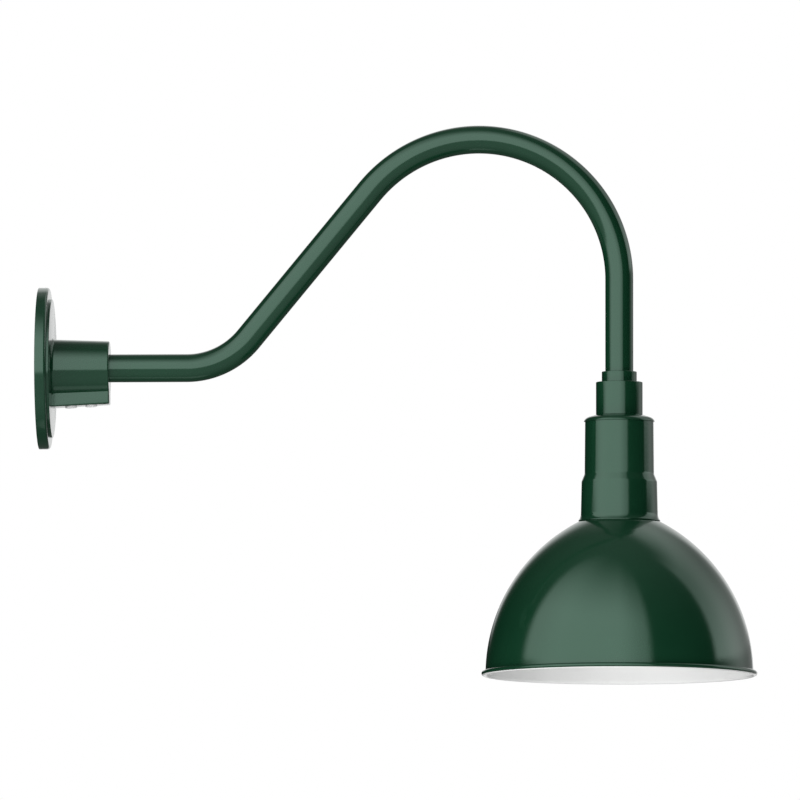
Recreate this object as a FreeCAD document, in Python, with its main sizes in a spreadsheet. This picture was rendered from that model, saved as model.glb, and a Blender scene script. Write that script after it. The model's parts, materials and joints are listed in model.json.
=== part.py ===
import FreeCAD, Part
import math
import os

import Sketcher
from FreeCAD import Placement, Rotation, Vector

# Gooseneck wall light: a cast wall plate with a tapered hub, a bent pipe arm and a spun bowl shade.
#
# Frame: the wall is the plane X = 0, +X points out from it, +Z is up. The origin is the centre of the
# wall plate's back, on the axis of the hub. The shade hangs on a vertical axis at X = reach, the drop
# axis, and its pieces are drawn about their own Z axis with levels measured from the hub axis.

doc = FreeCAD.newDocument("gooseneck_wall_light")

# ---------------------------------------------------------------------------------------------------
# Driving dimensions, in millimetres and degrees
# ---------------------------------------------------------------------------------------------------

SIZES = (
    # bent pipe arm: three-quarter inch trade pipe
    ("pipe_diameter", 26.67),
    ("pipe_wall", 2.87),
    ("reach", 553.0),
    ("rise_angle", 50.5),
    ("lower_bend_radius", 76.0),
    ("upper_bend_radius", 134.0),
    ("upper_bend_level", 83.0),
    # fits
    ("slip_clearance", 0.08),
    ("thread_clearance", 0.05),
    ("swivel_gap", 0.3),
    # cast wall plate
    ("plate_diameter", 154.0),
    ("plate_thickness", 10.4),
    ("plate_edge_radius", 2.4),
    ("step_diameter", 132.0),
    ("step_height", 2.6),
    ("casting_wall", 4.0),
    ("rim_width", 6.0),
    ("wall_gasket_width", 3.0),
    ("wall_gasket_thickness", 2.0),
    ("mount_hole_spacing", 88.9),
    ("mount_hole_diameter", 5.6),
    ("mount_pad_diameter", 15.0),
    # hub and its screw boss
    ("hub_length", 67.4),
    ("hub_root_diameter", 55.2),
    ("hub_nose_diameter", 51.6),
    ("hub_root_fillet", 3.0),
    ("hub_nose_fillet", 1.2),
    ("hub_stop", 12.0),
    ("wire_passage_diameter", 18.0),
    ("boss_width", 25.0),
    ("boss_nose_depth", 34.2),
    ("boss_draft_angle", 3.15),
    ("boss_fillet", 1.0),
    # set screws
    ("hub_screw_diameter", 11.1),
    ("hub_screw_first", 30.6),
    ("hub_screw_second", 49.8),
    ("hub_screw_stand", 1.5),
    ("hub_screw_key", 5.5),
    ("collar_screw_diameter", 6.35),
    ("collar_screw_level", 10.0),
    ("collar_screw_stand", 0.6),
    ("collar_screw_key", 3.2),
    ("screw_chamfer", 0.6),
    ("key_depth", 3.5),
    # bushings in the ends of the pipe
    ("bushing_flange", 1.5),
    ("bushing_sleeve", 8.0),
    ("bushing_wall", 1.2),
    # collar on the lower end of the arm
    ("collar_drop", 5.0),
    ("collar_ring_diameter", 33.3),
    ("collar_ring_height", 10.0),
    ("collar_diameter", 44.4),
    ("collar_body_height", 31.3),
    ("collar_insertion", 31.0),
    ("collar_chamfer", 0.5),
    # threaded nipple, its nuts and bushing
    ("nipple_diameter", 17.1),
    ("nipple_bore", 12.5),
    ("nipple_tail", 2.0),
    ("nut_across_flats", 22.2),
    ("nut_thickness", 4.5),
    ("nipple_bushing_flange", 1.2),
    ("nipple_bushing_sleeve", 6.0),
    # neck cap
    ("cap_diameter", 67.6),
    ("cap_wall", 1.0),
    ("cap_land", 0.6),
    ("cap_slope", 11.3),
    ("cap_shoulder_radius", 5.2),
    ("cap_skirt", 0.4),
    ("cap_clearance", 0.25),
    ("cap_gasket_inset", 1.3),
    ("cap_gasket_width", 2.6),
    # neck cup
    ("cup_wall", 1.0),
    ("cup_lip_width", 5.5),
    ("cup_waist_diameter", 66.0),
    ("cup_step_diameter", 71.8),
    ("cup_lower_diameter", 73.2),
    ("cup_flare_diameter", 77.8),
    ("cup_upper_height", 56.2),
    ("cup_step_height", 7.2),
    ("cup_lower_height", 37.3),
    ("cup_corner_radius", 5.0),
    ("cup_flare_height", 6.7),
    # hanger plate
    ("hanger_thickness", 2.5),
    ("hanger_inset", 0.6),
    # spun shade
    ("shade_diameter", 254.8),
    ("shade_arc_radius", 163.8),
    ("shade_depth", 146.55),
    ("shade_wall", 1.1),
    ("shade_upstand_clearance", 0.3),
    ("shade_flange_bore", 48.0),
    ("rim_rise", 1.0),
    ("rim_bead_radius", 2.45),
    ("rim_curl_angle", 115.0),
    # screws that hold the shade and the socket
    ("shade_screw_circle", 58.4),
    ("shade_screw_count", 3),
    ("machine_screw_diameter", 3.8),
    ("machine_screw_head", 7.0),
    ("machine_screw_head_height", 2.4),
    ("machine_screw_hole", 4.2),
    ("socket_screw_spacing", 34.0),
    ("socket_screw_grip", 7.0),
    ("spacer_diameter", 6.4),
    # lamp socket, medium screw base
    ("socket_drop", 24.0),
    ("socket_base_diameter", 45.0),
    ("socket_base_height", 8.0),
    ("socket_barrel_diameter", 40.0),
    ("socket_mouth_diameter", 37.0),
    ("socket_barrel_height", 34.0),
    ("socket_shell_bore", 26.5),
    ("socket_shell_wall", 0.5),
    ("socket_shell_length", 24.0),
    ("socket_shell_inset", 1.5),
    ("socket_shell_eye", 18.0),
    ("contact_diameter", 9.0),
    ("contact_thickness", 1.0),
    ("contact_stand", 0.5),
    ("contact_recess", 4.0),
    ("contact_stem_diameter", 3.0),
    ("contact_stem_length", 8.5),
    ("contact_guide_clearance", 0.3),
    ("contact_guide_depth", 11.0),
    ("terminal_notch_width", 10.0),
    ("terminal_seat", 14.5),
    ("terminal_drop", 4.0),
    ("terminal_grip", 6.0),
    # leads
    ("lead_diameter", 2.8),
    ("lead_offset", 2.4),
    ("lead_tail_level", 4.8),
    ("lead_tail_spread", 24.0),
    ("lead_tail_length", 20.0),
    ("lead_tail_bend", 6.5),
    ("lead_turn_bend", 8.0),
    ("lead_turn_angle", 67.9),
    ("ground_side", 26.0),
    ("ground_height", 40.0),
    ("ground_pad_diameter", 12.0),
    ("ground_pad_height", 2.6),
    ("ground_lug_thickness", 0.8),
    ("ground_lug_diameter", 9.0),
    ("ground_tongue_length", 12.0),
    ("ground_tongue_width", 3.6),
    ("ground_lead_run", 20.0),
    ("ground_lead_end", 30.0),
    ("ground_lead_fall", 8.0),
    ("ground_lead_bend", 25.0),
)

size = doc.addObject("Spreadsheet::Sheet", "size")
for row, (alias, figure) in enumerate(SIZES, start=1):
    size.set("A%d" % row, alias)
    size.set("B%d" % row, str(figure))
    size.setAlias("B%d" % row, alias)
doc.recompute()

# Places that follow from the driving dimensions, as formulas in a second sheet
PLACES = (
    ("pipe_radius", "size.pipe_diameter / 2"),
    ("pipe_bore", "pipe_radius - size.pipe_wall"),
    ("socket_bore", "pipe_radius + size.slip_clearance"),
    # arm centre line: level run, lower bend, straight rise, upper bend, straight drop
    ("upper_x", "size.reach - size.upper_bend_radius"),
    ("rise_top_x", "upper_x - size.upper_bend_radius * sin(size.rise_angle)"),
    ("rise_top_z", "size.upper_bend_level + size.upper_bend_radius * cos(size.rise_angle)"),
    ("rise_foot_z", "size.lower_bend_radius * (1 - cos(size.rise_angle))"),
    ("rise_foot_x", "rise_top_x - (rise_top_z - rise_foot_z) / tan(size.rise_angle)"),
    ("lower_x", "rise_foot_x - size.lower_bend_radius * sin(size.rise_angle)"),
    ("lower_corner_x", "lower_x + size.lower_bend_radius * tan(size.rise_angle / 2)"),
    ("upper_corner_z", "size.upper_bend_level + size.upper_bend_radius * tan((90 + size.rise_angle) / 2)"),
    ("arm_start", "size.hub_stop + size.swivel_gap + size.bushing_flange"),
    # wall plate
    ("face_x", "size.plate_thickness + size.step_height"),
    ("floor_x", "face_x - size.casting_wall"),
    ("rim_floor_x", "size.plate_thickness - size.casting_wall"),
    ("cavity_radius", "size.plate_diameter / 2 - size.rim_width"),
    ("step_cavity_radius", "size.step_diameter / 2 - size.casting_wall"),
    ("boss_slope", "tan(size.boss_draft_angle)"),
    ("boss_root_depth", "size.boss_nose_depth + (size.hub_length - size.plate_thickness) * boss_slope"),
    ("first_screw_z", "-size.boss_nose_depth - (size.hub_length - size.hub_screw_first) * boss_slope"),
    ("second_screw_z", "-size.boss_nose_depth - (size.hub_length - size.hub_screw_second) * boss_slope"),
    ("screw_tip", "size.hub_screw_diameter / 2 - 2 * size.screw_chamfer"),
    ("screw_tip_lift", "screw_tip * sin(size.boss_draft_angle) + size.slip_clearance"),
    # levels on the drop axis, from the top down
    ("collar_top", "-size.collar_drop"),
    ("ring_bottom", "collar_top - size.collar_ring_height"),
    ("cap_top", "ring_bottom - size.collar_body_height"),
    ("pipe_end", "collar_top - size.collar_insertion"),
    ("collar_stop", "pipe_end - size.bushing_flange - size.swivel_gap"),
    ("collar_screw_z", "ring_bottom - size.collar_screw_level"),
    ("nipple_radius", "size.nipple_diameter / 2"),
    ("cap_radius", "size.cap_diameter / 2"),
    ("cap_flat", "size.collar_diameter / 2 + size.cap_land"),
    ("cap_arc_r", "cap_radius - size.cap_shoulder_radius"),
    ("cap_cone_r", "cap_arc_r + size.cap_shoulder_radius * sin(size.cap_slope)"),
    ("cap_cone_z", "cap_top - (cap_cone_r - cap_flat) * tan(size.cap_slope)"),
    ("cap_arc_z", "cap_cone_z - size.cap_shoulder_radius * cos(size.cap_slope)"),
    ("cap_bottom", "cap_arc_z - size.cap_skirt"),
    ("cap_inner_arc", "size.cap_shoulder_radius - size.cap_wall"),
    ("cap_inner_r", "cap_arc_r + cap_inner_arc * sin(size.cap_slope)"),
    ("cap_inner_z", "cap_arc_z + cap_inner_arc * cos(size.cap_slope)"),
    ("cup_top_r", "cap_radius - size.cap_wall - size.cap_clearance"),
    ("cup_top", "cap_arc_z + sqrt(cap_inner_arc ^ 2 - (cup_top_r - cap_arc_r) ^ 2)"),
    ("cap_gasket_r", "cup_top_r - size.cap_gasket_inset"),
    ("cap_gasket_top", "cap_arc_z + sqrt(cap_inner_arc ^ 2 - (cap_gasket_r - cap_arc_r) ^ 2)"),
    ("step_top", "cap_top - size.cup_upper_height"),
    ("step_bottom", "step_top - size.cup_step_height"),
    ("cup_bottom", "step_bottom - size.cup_lower_height"),
    ("flare_top", "cup_bottom + size.cup_flare_height"),
    ("waist_r", "size.cup_waist_diameter / 2"),
    ("step_r", "size.cup_step_diameter / 2"),
    ("lower_r", "size.cup_lower_diameter / 2"),
    ("flare_r", "size.cup_flare_diameter / 2"),
    ("flare_out", "flare_r - lower_r"),
    ("flare_bend", "(flare_out ^ 2 + size.cup_flare_height ^ 2) / (2 * flare_out)"),
    ("flare_ratio", "(flare_bend + size.cup_wall) / flare_bend"),
    ("flare_inner_r", "lower_r + flare_bend + flare_ratio * (flare_out - flare_bend)"),
    ("flare_inner_z", "flare_top - flare_ratio * size.cup_flare_height"),
    ("hanger_r", "step_r - size.cup_wall - size.hanger_inset"),
    ("hanger_top", "step_bottom + size.hanger_inset * size.cup_step_height / (step_r - waist_r)"),
    ("hanger_bottom", "hanger_top - size.hanger_thickness"),
    ("nut_bottom", "hanger_bottom - size.nut_thickness"),
    ("nipple_bottom", "nut_bottom - size.nipple_tail"),
    ("cap_nut_top", "cap_top - size.cap_wall"),
    # shade: one arc from the neck to the rim, then a bead curled outwards
    ("shade_arc_r", "size.shade_diameter / 2 - size.shade_arc_radius"),
    ("shade_arc_z", "cup_bottom - size.shade_depth"),
    ("shade_inner_arc", "size.shade_arc_radius - size.shade_wall"),
    ("bead_z", "shade_arc_z + size.rim_rise"),
    ("rim_r", "shade_arc_r + sqrt(size.shade_arc_radius ^ 2 - size.rim_rise ^ 2)"),
    ("rim_inner_r", "shade_arc_r + sqrt(shade_inner_arc ^ 2 - size.rim_rise ^ 2)"),
    ("bead_r", "rim_inner_r + size.rim_bead_radius"),
    ("bead_hollow", "bead_r - rim_r"),
    ("upstand_r", "step_r - size.cup_wall - size.shade_upstand_clearance"),
    ("upstand_inner_r", "upstand_r - size.shade_wall"),
    ("crown_z", "shade_arc_z + sqrt(size.shade_arc_radius ^ 2 - (upstand_r - shade_arc_r) ^ 2)"),
    ("crown_inner_z", "shade_arc_z + sqrt(shade_inner_arc ^ 2 - (upstand_inner_r - shade_arc_r) ^ 2)"),
    ("shade_flange_bottom", "hanger_bottom - size.shade_wall"),
    # lamp socket
    ("socket_top", "hanger_bottom - size.socket_drop"),
    ("base_bottom", "socket_top - size.socket_base_height"),
    ("socket_bottom", "base_bottom - size.socket_barrel_height"),
    ("shell_r", "size.socket_shell_bore / 2"),
    ("shell_outer_r", "shell_r + size.socket_shell_wall"),
    ("shell_bottom", "socket_bottom + size.socket_shell_inset"),
    ("shell_top", "shell_bottom + size.socket_shell_length"),
    ("contact_bottom", "shell_top - size.contact_stand"),
    ("contact_top", "contact_bottom + size.contact_thickness"),
    ("guide_r", "size.contact_stem_diameter / 2 + size.contact_guide_clearance"),
    ("terminal_z", "socket_top - size.terminal_drop"),
    ("lead_seat", "size.terminal_seat + size.lead_diameter / 2 + size.swivel_gap"),
    ("swivel_z", "pipe_end - size.bushing_flange"),
    ("lead_bend_top", "nipple_bottom - size.nipple_bushing_flange - size.lead_turn_bend * tan(size.lead_turn_angle / 2)"),
    ("lead_tip_z", "terminal_z + size.machine_screw_head / 2"),
    ("lead_bend_foot", "lead_tip_z + size.lead_turn_bend * tan(size.lead_turn_angle / 2)"),
    # ground screw, in the hollow back of the wall plate
    ("ground_pad_x", "floor_x - size.ground_pad_height"),
    ("ground_lug_x", "ground_pad_x - size.ground_lug_thickness"),
    ("ground_head_x", "ground_lug_x - size.machine_screw_head_height"),
)

place = doc.addObject("Spreadsheet::Sheet", "place")
for row, (alias, formula) in enumerate(PLACES, start=1):
    place.set("A%d" % row, alias)
    place.set("B%d" % row, "=" + formula)
    place.setAlias("B%d" % row, alias)
doc.recompute()


def number(expression):
    """The value of an expression over the two sheets."""
    return float(place.evalExpression(expression))


# ---------------------------------------------------------------------------------------------------
# Modelling helpers
# ---------------------------------------------------------------------------------------------------

NODES = []
HEXAGON_SIDES = 6


def new_body(name):
    """An empty body that becomes the sub-part of this name."""
    body = doc.addObject("PartDesign::Body", name)
    body.Label = name
    NODES.append(body)
    return body


def on_drop_axis(body):
    """Stand a body on the vertical axis of the shade."""
    body.setExpression(".Placement.Base.x", "size.reach")
    return body


def new_sketch(body, plane, offset=None):
    """A sketch on one of the body's origin planes, moved along its normal by an expression."""
    sketch = body.newObject("Sketcher::SketchObject", body.Name + "_sketch")
    support = [feature for feature in body.Origin.OriginFeatures if feature.Role == plane][0]
    sketch.AttachmentSupport = (support, [""])
    sketch.MapMode = "FlatFace"
    if offset:
        sketch.setExpression(".AttachmentOffset.Base.z", offset)
    return sketch


def pin(sketch, geometry, end, across, up):
    """Fix one end of a sketch edge at a place given by two expressions."""
    for kind, expression in (("DistanceX", across), ("DistanceY", up)):
        rule = Sketcher.Constraint(kind, -1, 1, geometry, end, number(expression))
        index = sketch.addConstraint(rule)
        sketch.setExpression("Constraints[%d]" % index, expression)


def arc_between(start, finish, radius, left):
    """The arc of under a half circle from start to finish, with its centre on the left or right."""
    chord = finish - start
    middle = (start + finish) * 0.5
    sagitta = (radius ** 2 - (chord.Length / 2) ** 2) ** 0.5
    normal = Vector(-chord.y, chord.x, 0).normalize()
    centre = middle + normal * (sagitta if left else -sagitta)
    towards = (middle - centre).normalize() if sagitta > 1e-9 else normal * (-1 if left else 1)
    return Part.Arc(start, centre + towards * radius, finish)


def outline(body, plane, points, bends=None, closed=True, offset=None):
    """A sketch through points, each a pair of expressions. bends gives the radius of an edge, by the
    number of its first point: the centre lies to the left of the edge, or to the right after a minus."""
    bends = bends or {}
    sketch = new_sketch(body, plane, offset)
    places = [Vector(number(across), number(up), 0) for across, up in points]
    count = len(points) if closed else len(points) - 1
    ends = []
    for index in range(count):
        start = places[index]
        finish = places[(index + 1) % len(points)]
        if index in bends:
            radius = bends[index]
            left = not radius.startswith("-")
            radius = radius.lstrip("-")
            edge = sketch.addGeometry(arc_between(start, finish, number(radius), left), False)
            flipped = sketch.getPoint(edge, 1).distanceToPoint(start) > 1e-6
            ends.append((edge, 2, 1) if flipped else (edge, 1, 2))
            rule = sketch.addConstraint(Sketcher.Constraint("Radius", edge, number(radius)))
            sketch.setExpression("Constraints[%d]" % rule, radius)
        else:
            edge = sketch.addGeometry(Part.LineSegment(start, finish), False)
            ends.append((edge, 1, 2))
    for index in range(count):
        edge, first, last = ends[index]
        pin(sketch, edge, first, *points[index])
        if closed or index < count - 1:
            following, start_end, _ = ends[(index + 1) % count]
            sketch.addConstraint(Sketcher.Constraint("Coincident", edge, last, following, start_end))
        else:
            pin(sketch, edge, last, *points[-1])
    return sketch


def circles(body, plane, rings, offset=None):
    """A sketch of circles, each given by three expressions: across, up and radius."""
    sketch = new_sketch(body, plane, offset)
    for across, up, radius in rings:
        centre = Vector(number(across), number(up), 0)
        ring = sketch.addGeometry(Part.Circle(centre, Vector(0, 0, 1), number(radius)), False)
        pin(sketch, ring, 3, across, up)
        rule = sketch.addConstraint(Sketcher.Constraint("Radius", ring, number(radius)))
        sketch.setExpression("Constraints[%d]" % rule, radius)
    return sketch


def hexagon(body, plane, across_flats, offset=None):
    """A sketch of a hexagon about the origin, by its size across the flats."""
    turn = 360 / HEXAGON_SIDES
    corner = "(%s) / 2 / cos(%g)" % (across_flats, turn / 2)
    points = [("%s * cos(%g)" % (corner, turn * side), "%s * sin(%g)" % (corner, turn * side))
              for side in range(HEXAGON_SIDES)]
    return outline(body, plane, points, offset=offset)


def turned(body, sketch, axis="V_Axis"):
    """Revolve a profile into solid metal."""
    feature = body.newObject("PartDesign::Revolution", body.Name + "_turned")
    feature.Profile = (sketch, [""])
    feature.ReferenceAxis = (sketch, [axis])
    feature.Angle = 360
    doc.recompute()
    return feature


def check_cut(body, before):
    """A cut that removes nothing points away from the solid."""
    doc.recompute()
    if not body.Shape.Volume < before - 1e-6:
        raise ValueError("nothing was cut from " + body.Name)


def bored(body, sketch, axis):
    """Cut a revolved profile out of the body."""
    before = body.Shape.Volume
    feature = body.newObject("PartDesign::Groove", body.Name + "_bored")
    feature.Profile = (sketch, [""])
    feature.ReferenceAxis = (sketch, [axis])
    feature.Angle = 360
    check_cut(body, before)
    return feature


def padded(body, sketch, length, reverse=False, both_ways=False):
    """Extrude a profile along its sketch's normal, or half each way."""
    feature = body.newObject("PartDesign::Pad", body.Name + "_pad")
    feature.Profile = (sketch, [""])
    feature.setExpression("Length", length)
    feature.Reversed = reverse
    if both_ways:
        feature.SideType = "Symmetric"
    doc.recompute()
    return feature


def pocketed(body, sketch, depth, reverse=False):
    """Cut an extruded profile, against its sketch's normal, or along it where reversed."""
    before = body.Shape.Volume
    feature = body.newObject("PartDesign::Pocket", body.Name + "_pocket")
    feature.Profile = (sketch, [""])
    feature.setExpression("Length", depth)
    feature.Reversed = reverse
    check_cut(body, before)
    return feature


def rounded(body, radius, chosen, kind="PartDesign::Fillet"):
    """Fillet or chamfer the edges of the body's last feature that the test picks."""
    base = body.Tip
    names = ["Edge%d" % (index + 1) for index, edge in enumerate(base.Shape.Edges) if chosen(edge)]
    feature = body.newObject(kind, body.Name + "_edges")
    feature.Base = (base, names)
    feature.setExpression("Radius" if kind.endswith("Fillet") else "Size", radius)
    doc.recompute()
    return feature


def around(body, feature, count="size.shade_screw_count"):
    """Repeat a feature evenly about the drop axis."""
    body.AllowCompound = True
    pattern = body.newObject("PartDesign::PolarPattern", body.Name + "_around")
    pattern.Originals = [feature]
    axis = [datum for datum in body.Origin.OriginFeatures if datum.Role == "Z_Axis"][0]
    pattern.Axis = (axis, [""])
    pattern.Angle = 360
    pattern.setExpression("Occurrences", count)
    body.Tip = pattern
    doc.recompute()
    return pattern


def tilted_axis(sketch, start, finish):
    """A construction line for a turned cut, from start to finish, each a pair of expressions."""
    ends = [Vector(number(across), number(up), 0) for across, up in (start, finish)]
    line = sketch.addGeometry(Part.LineSegment(*ends), True)
    pin(sketch, line, 1, *start)
    pin(sketch, line, 2, *finish)


def rounded_route(points, radii):
    """A wire of straight runs through points, with a tangent arc of the given radius at each corner."""
    edges = []
    start = points[0]
    for corner, radius, before, after in zip(points[1:-1], radii, points, points[2:]):
        back = (before - corner).normalize()
        onward = (after - corner).normalize()
        half = back.getAngle(onward) / 2
        arc_start = corner + back * (radius / math.tan(half))
        arc_end = corner + onward * (radius / math.tan(half))
        middle = corner + (back + onward).normalize() * (radius / math.sin(half) - radius)
        edges.append(Part.LineSegment(start, arc_start).toShape())
        edges.append(Part.Arc(arc_start, middle, arc_end).toShape())
        start = arc_end
    edges.append(Part.LineSegment(start, points[-1]).toShape())
    return Part.Wire(edges)


def lead(name, points, radii):
    """An insulated lead along a rounded route: points are triples of expressions."""
    corners = [Vector(*(number(part) for part in point)) for point in points]
    wire = rounded_route(corners, [number(radius) for radius in radii])
    radius = number("size.lead_diameter / 2")
    start = wire.OrderedEdges[0]
    section = Part.Wire(Part.Circle(corners[0], start.tangentAt(start.FirstParameter), radius).toShape())
    tube = wire.makePipeShell([section], True, False)
    if abs(tube.Volume / (math.pi * radius ** 2 * wire.Length) - 1) > 0.01:
        raise ValueError(name + " is not as long as its route")
    print("%-22s %.1f mm long, %.1f mm thick, tightest bend %.1f mm" % (
        name, wire.Length, 2 * radius, min(number(bend) for bend in radii)))
    feature = doc.addObject("Part::Feature", name)
    feature.Label = name
    feature.Shape = tube
    feature.Placement = Placement()
    NODES.append(feature)
    return feature


# ---------------------------------------------------------------------------------------------------
# Wall plate: one casting, hollow at the back, with the tapered hub and the boss for its set screws
# ---------------------------------------------------------------------------------------------------

def wall_plate():
    body = new_body("wall_plate")
    rim = "size.plate_diameter / 2"
    step = "size.step_diameter / 2"
    root = "size.hub_root_diameter / 2"
    nose = "size.hub_nose_diameter / 2"
    turned(body, outline(body, "XZ_Plane", [
        ("0", "0"),
        ("0", rim),
        ("size.plate_thickness - size.plate_edge_radius", rim),
        ("size.plate_thickness", rim + " - size.plate_edge_radius"),
        ("size.plate_thickness", step),
        ("place.face_x", step),
        ("place.face_x", root + " + size.hub_root_fillet"),
        ("place.face_x + size.hub_root_fillet", root),
        ("size.hub_length - size.hub_nose_fillet", nose),
        ("size.hub_length", nose + " - size.hub_nose_fillet"),
        ("size.hub_length", "0"),
    ], {2: "-size.plate_edge_radius", 6: "size.hub_root_fillet", 8: "-size.hub_nose_fillet"}), "H_Axis")

    # the boss runs along the underside of the hub and is shallower at the nose
    padded(body, outline(body, "XZ_Plane", [
        ("size.plate_thickness", "-" + nose + " / 2"),
        ("size.plate_thickness", "-place.boss_root_depth"),
        ("size.hub_length", "-size.boss_nose_depth"),
        ("size.hub_length", "-" + nose + " / 2"),
    ]), "size.boss_width", both_ways=True)
    half_width = number("size.boss_width / 2")
    nose_depth = number("size.boss_nose_depth")
    rounded(body, "size.boss_fillet", lambda edge: (
        abs(abs(edge.CenterOfMass.y) - half_width) < 1e-3
        and edge.BoundBox.ZMax < -nose_depth + 1e-3
        and edge.Length > number("size.hub_length - size.plate_thickness") / 2))

    # bore for the arm down to its stop, then the wire passage
    bored(body, outline(body, "XZ_Plane", [
        ("size.hub_stop", "0"),
        ("size.hub_stop", "place.socket_bore"),
        ("size.hub_length + size.hub_nose_fillet", "place.socket_bore"),
        ("size.hub_length + size.hub_nose_fillet", "0"),
    ]), "H_Axis")
    bored(body, outline(body, "XZ_Plane", [
        ("-size.rim_width", "0"),
        ("-size.rim_width", "place.cavity_radius"),
        ("place.rim_floor_x", "place.cavity_radius"),
        ("place.rim_floor_x", "place.step_cavity_radius"),
        ("place.floor_x", "place.step_cavity_radius"),
        ("place.floor_x", "size.wire_passage_diameter / 2"),
        ("size.hub_stop + size.swivel_gap", "size.wire_passage_diameter / 2"),
        ("size.hub_stop + size.swivel_gap", "0"),
    ]), "H_Axis")

    # rebate for the wall gasket
    bored(body, outline(body, "XZ_Plane", [
        ("-size.wall_gasket_thickness", "place.cavity_radius - size.wall_gasket_width"),
        ("-size.wall_gasket_thickness", "place.cavity_radius + size.wall_gasket_width"),
        ("size.wall_gasket_thickness", "place.cavity_radius + size.wall_gasket_width"),
        ("size.wall_gasket_thickness", "place.cavity_radius - size.wall_gasket_width"),
    ]), "H_Axis")

    # pads behind the two mounting holes and the ground screw
    sides = ("-size.mount_hole_spacing / 2", "size.mount_hole_spacing / 2")
    overlap = "size.casting_wall / 2"
    padded(body, circles(body, "YZ_Plane", [(side, "0", "size.mount_pad_diameter / 2") for side in sides]),
           "place.floor_x + " + overlap)
    padded(body, circles(body, "YZ_Plane", [
        ("size.ground_side", "size.ground_height", "size.ground_pad_diameter / 2"),
    ], "place.ground_pad_x"), "size.ground_pad_height + " + overlap)
    pocketed(body, circles(body, "YZ_Plane", [
        (side, "0", "size.mount_hole_diameter / 2") for side in sides
    ]), "size.hub_length", reverse=True)
    pocketed(body, circles(body, "YZ_Plane", [
        ("size.ground_side", "size.ground_height", "size.machine_screw_diameter / 2"),
    ], "place.ground_pad_x"), "size.ground_pad_height + " + overlap, reverse=True)

    # threaded holes for the set screws, square to the sloping underside of the boss
    for along, level in (("size.hub_screw_first", "place.first_screw_z"),
                         ("size.hub_screw_second", "place.second_screw_z")):
        lean = "size.boss_draft_angle"
        radius = "(size.hub_screw_diameter / 2 + size.thread_clearance)"
        outer = "size.hub_screw_diameter"
        inner = "(%s + place.pipe_radius / 2)" % level
        sketch = outline(body, "XZ_Plane", [
            (along + " + %s * sin(%s)" % (outer, lean), level + " - %s * cos(%s)" % (outer, lean)),
            (along + " + %s * sin(%s) + %s * cos(%s)" % (outer, lean, radius, lean),
             level + " - %s * cos(%s) + %s * sin(%s)" % (outer, lean, radius, lean)),
            (along + " + %s * sin(%s) + %s * cos(%s)" % (inner, lean, radius, lean),
             level + " - %s * cos(%s) + %s * sin(%s)" % (inner, lean, radius, lean)),
            (along + " + %s * sin(%s)" % (inner, lean), level + " - %s * cos(%s)" % (inner, lean)),
        ])
        tilted_axis(sketch, (along, level),
                    (along + " + %s * sin(%s)" % (outer, lean), level + " - %s * cos(%s)" % (outer, lean)))
        bored(body, sketch, "Axis0")
    return body


def wall_gasket():
    body = new_body("wall_gasket")
    turned(body, outline(body, "XZ_Plane", [
        ("0", "place.cavity_radius"),
        ("0", "place.cavity_radius + size.wall_gasket_width"),
        ("size.wall_gasket_thickness", "place.cavity_radius + size.wall_gasket_width"),
        ("size.wall_gasket_thickness", "place.cavity_radius"),
    ]), "H_Axis")


def ground_screw():
    body = new_body("ground_screw")
    shank = "size.machine_screw_diameter / 2"
    head = "size.machine_screw_head / 2"
    turned(body, outline(body, "XZ_Plane", [
        ("place.ground_head_x", "0"),
        ("place.ground_head_x", head + " - size.screw_chamfer"),
        ("place.ground_head_x + size.screw_chamfer", head),
        ("place.ground_lug_x", head),
        ("place.ground_lug_x", shank),
        ("place.floor_x + size.casting_wall / 2", shank),
        ("place.floor_x + size.casting_wall / 2", "0"),
    ]), "H_Axis")
    body.setExpression(".Placement.Base.y", "size.ground_side")
    body.setExpression(".Placement.Base.z", "size.ground_height")


def ground_lug():
    """Ring tongue under the ground screw, with the barrel that grips the lead."""
    body = new_body("ground_lug")
    padded(body, circles(body, "YZ_Plane", [
        ("size.ground_side", "size.ground_height", "size.ground_lug_diameter / 2"),
    ], "place.ground_lug_x"), "size.ground_lug_thickness")
    half = "size.ground_tongue_width / 2"
    tip = "size.ground_side - size.ground_tongue_length"
    padded(body, outline(body, "YZ_Plane", [
        ("size.ground_side", "size.ground_height - " + half),
        ("size.ground_side", "size.ground_height + " + half),
        (tip, "size.ground_height + " + half),
        (tip, "size.ground_height - " + half),
    ], offset="place.ground_lug_x"), "size.ground_lug_thickness")
    pocketed(body, circles(body, "YZ_Plane", [
        ("size.ground_side", "size.ground_height", "size.machine_screw_diameter / 2"),
    ]), "size.hub_length", reverse=True)


def ground_lead():
    level = "place.ground_lug_x - size.lead_diameter / 2"
    start = "size.ground_side - size.machine_screw_head / 2 - size.lead_diameter / 2"
    lead("ground_lead", [
        (level, start, "size.ground_height"),
        (level, start + " - size.ground_lead_run", "size.ground_height"),
        (level, "-size.ground_lead_end", "size.ground_height - size.ground_lead_fall"),
    ], ["size.ground_lead_bend"])


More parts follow.
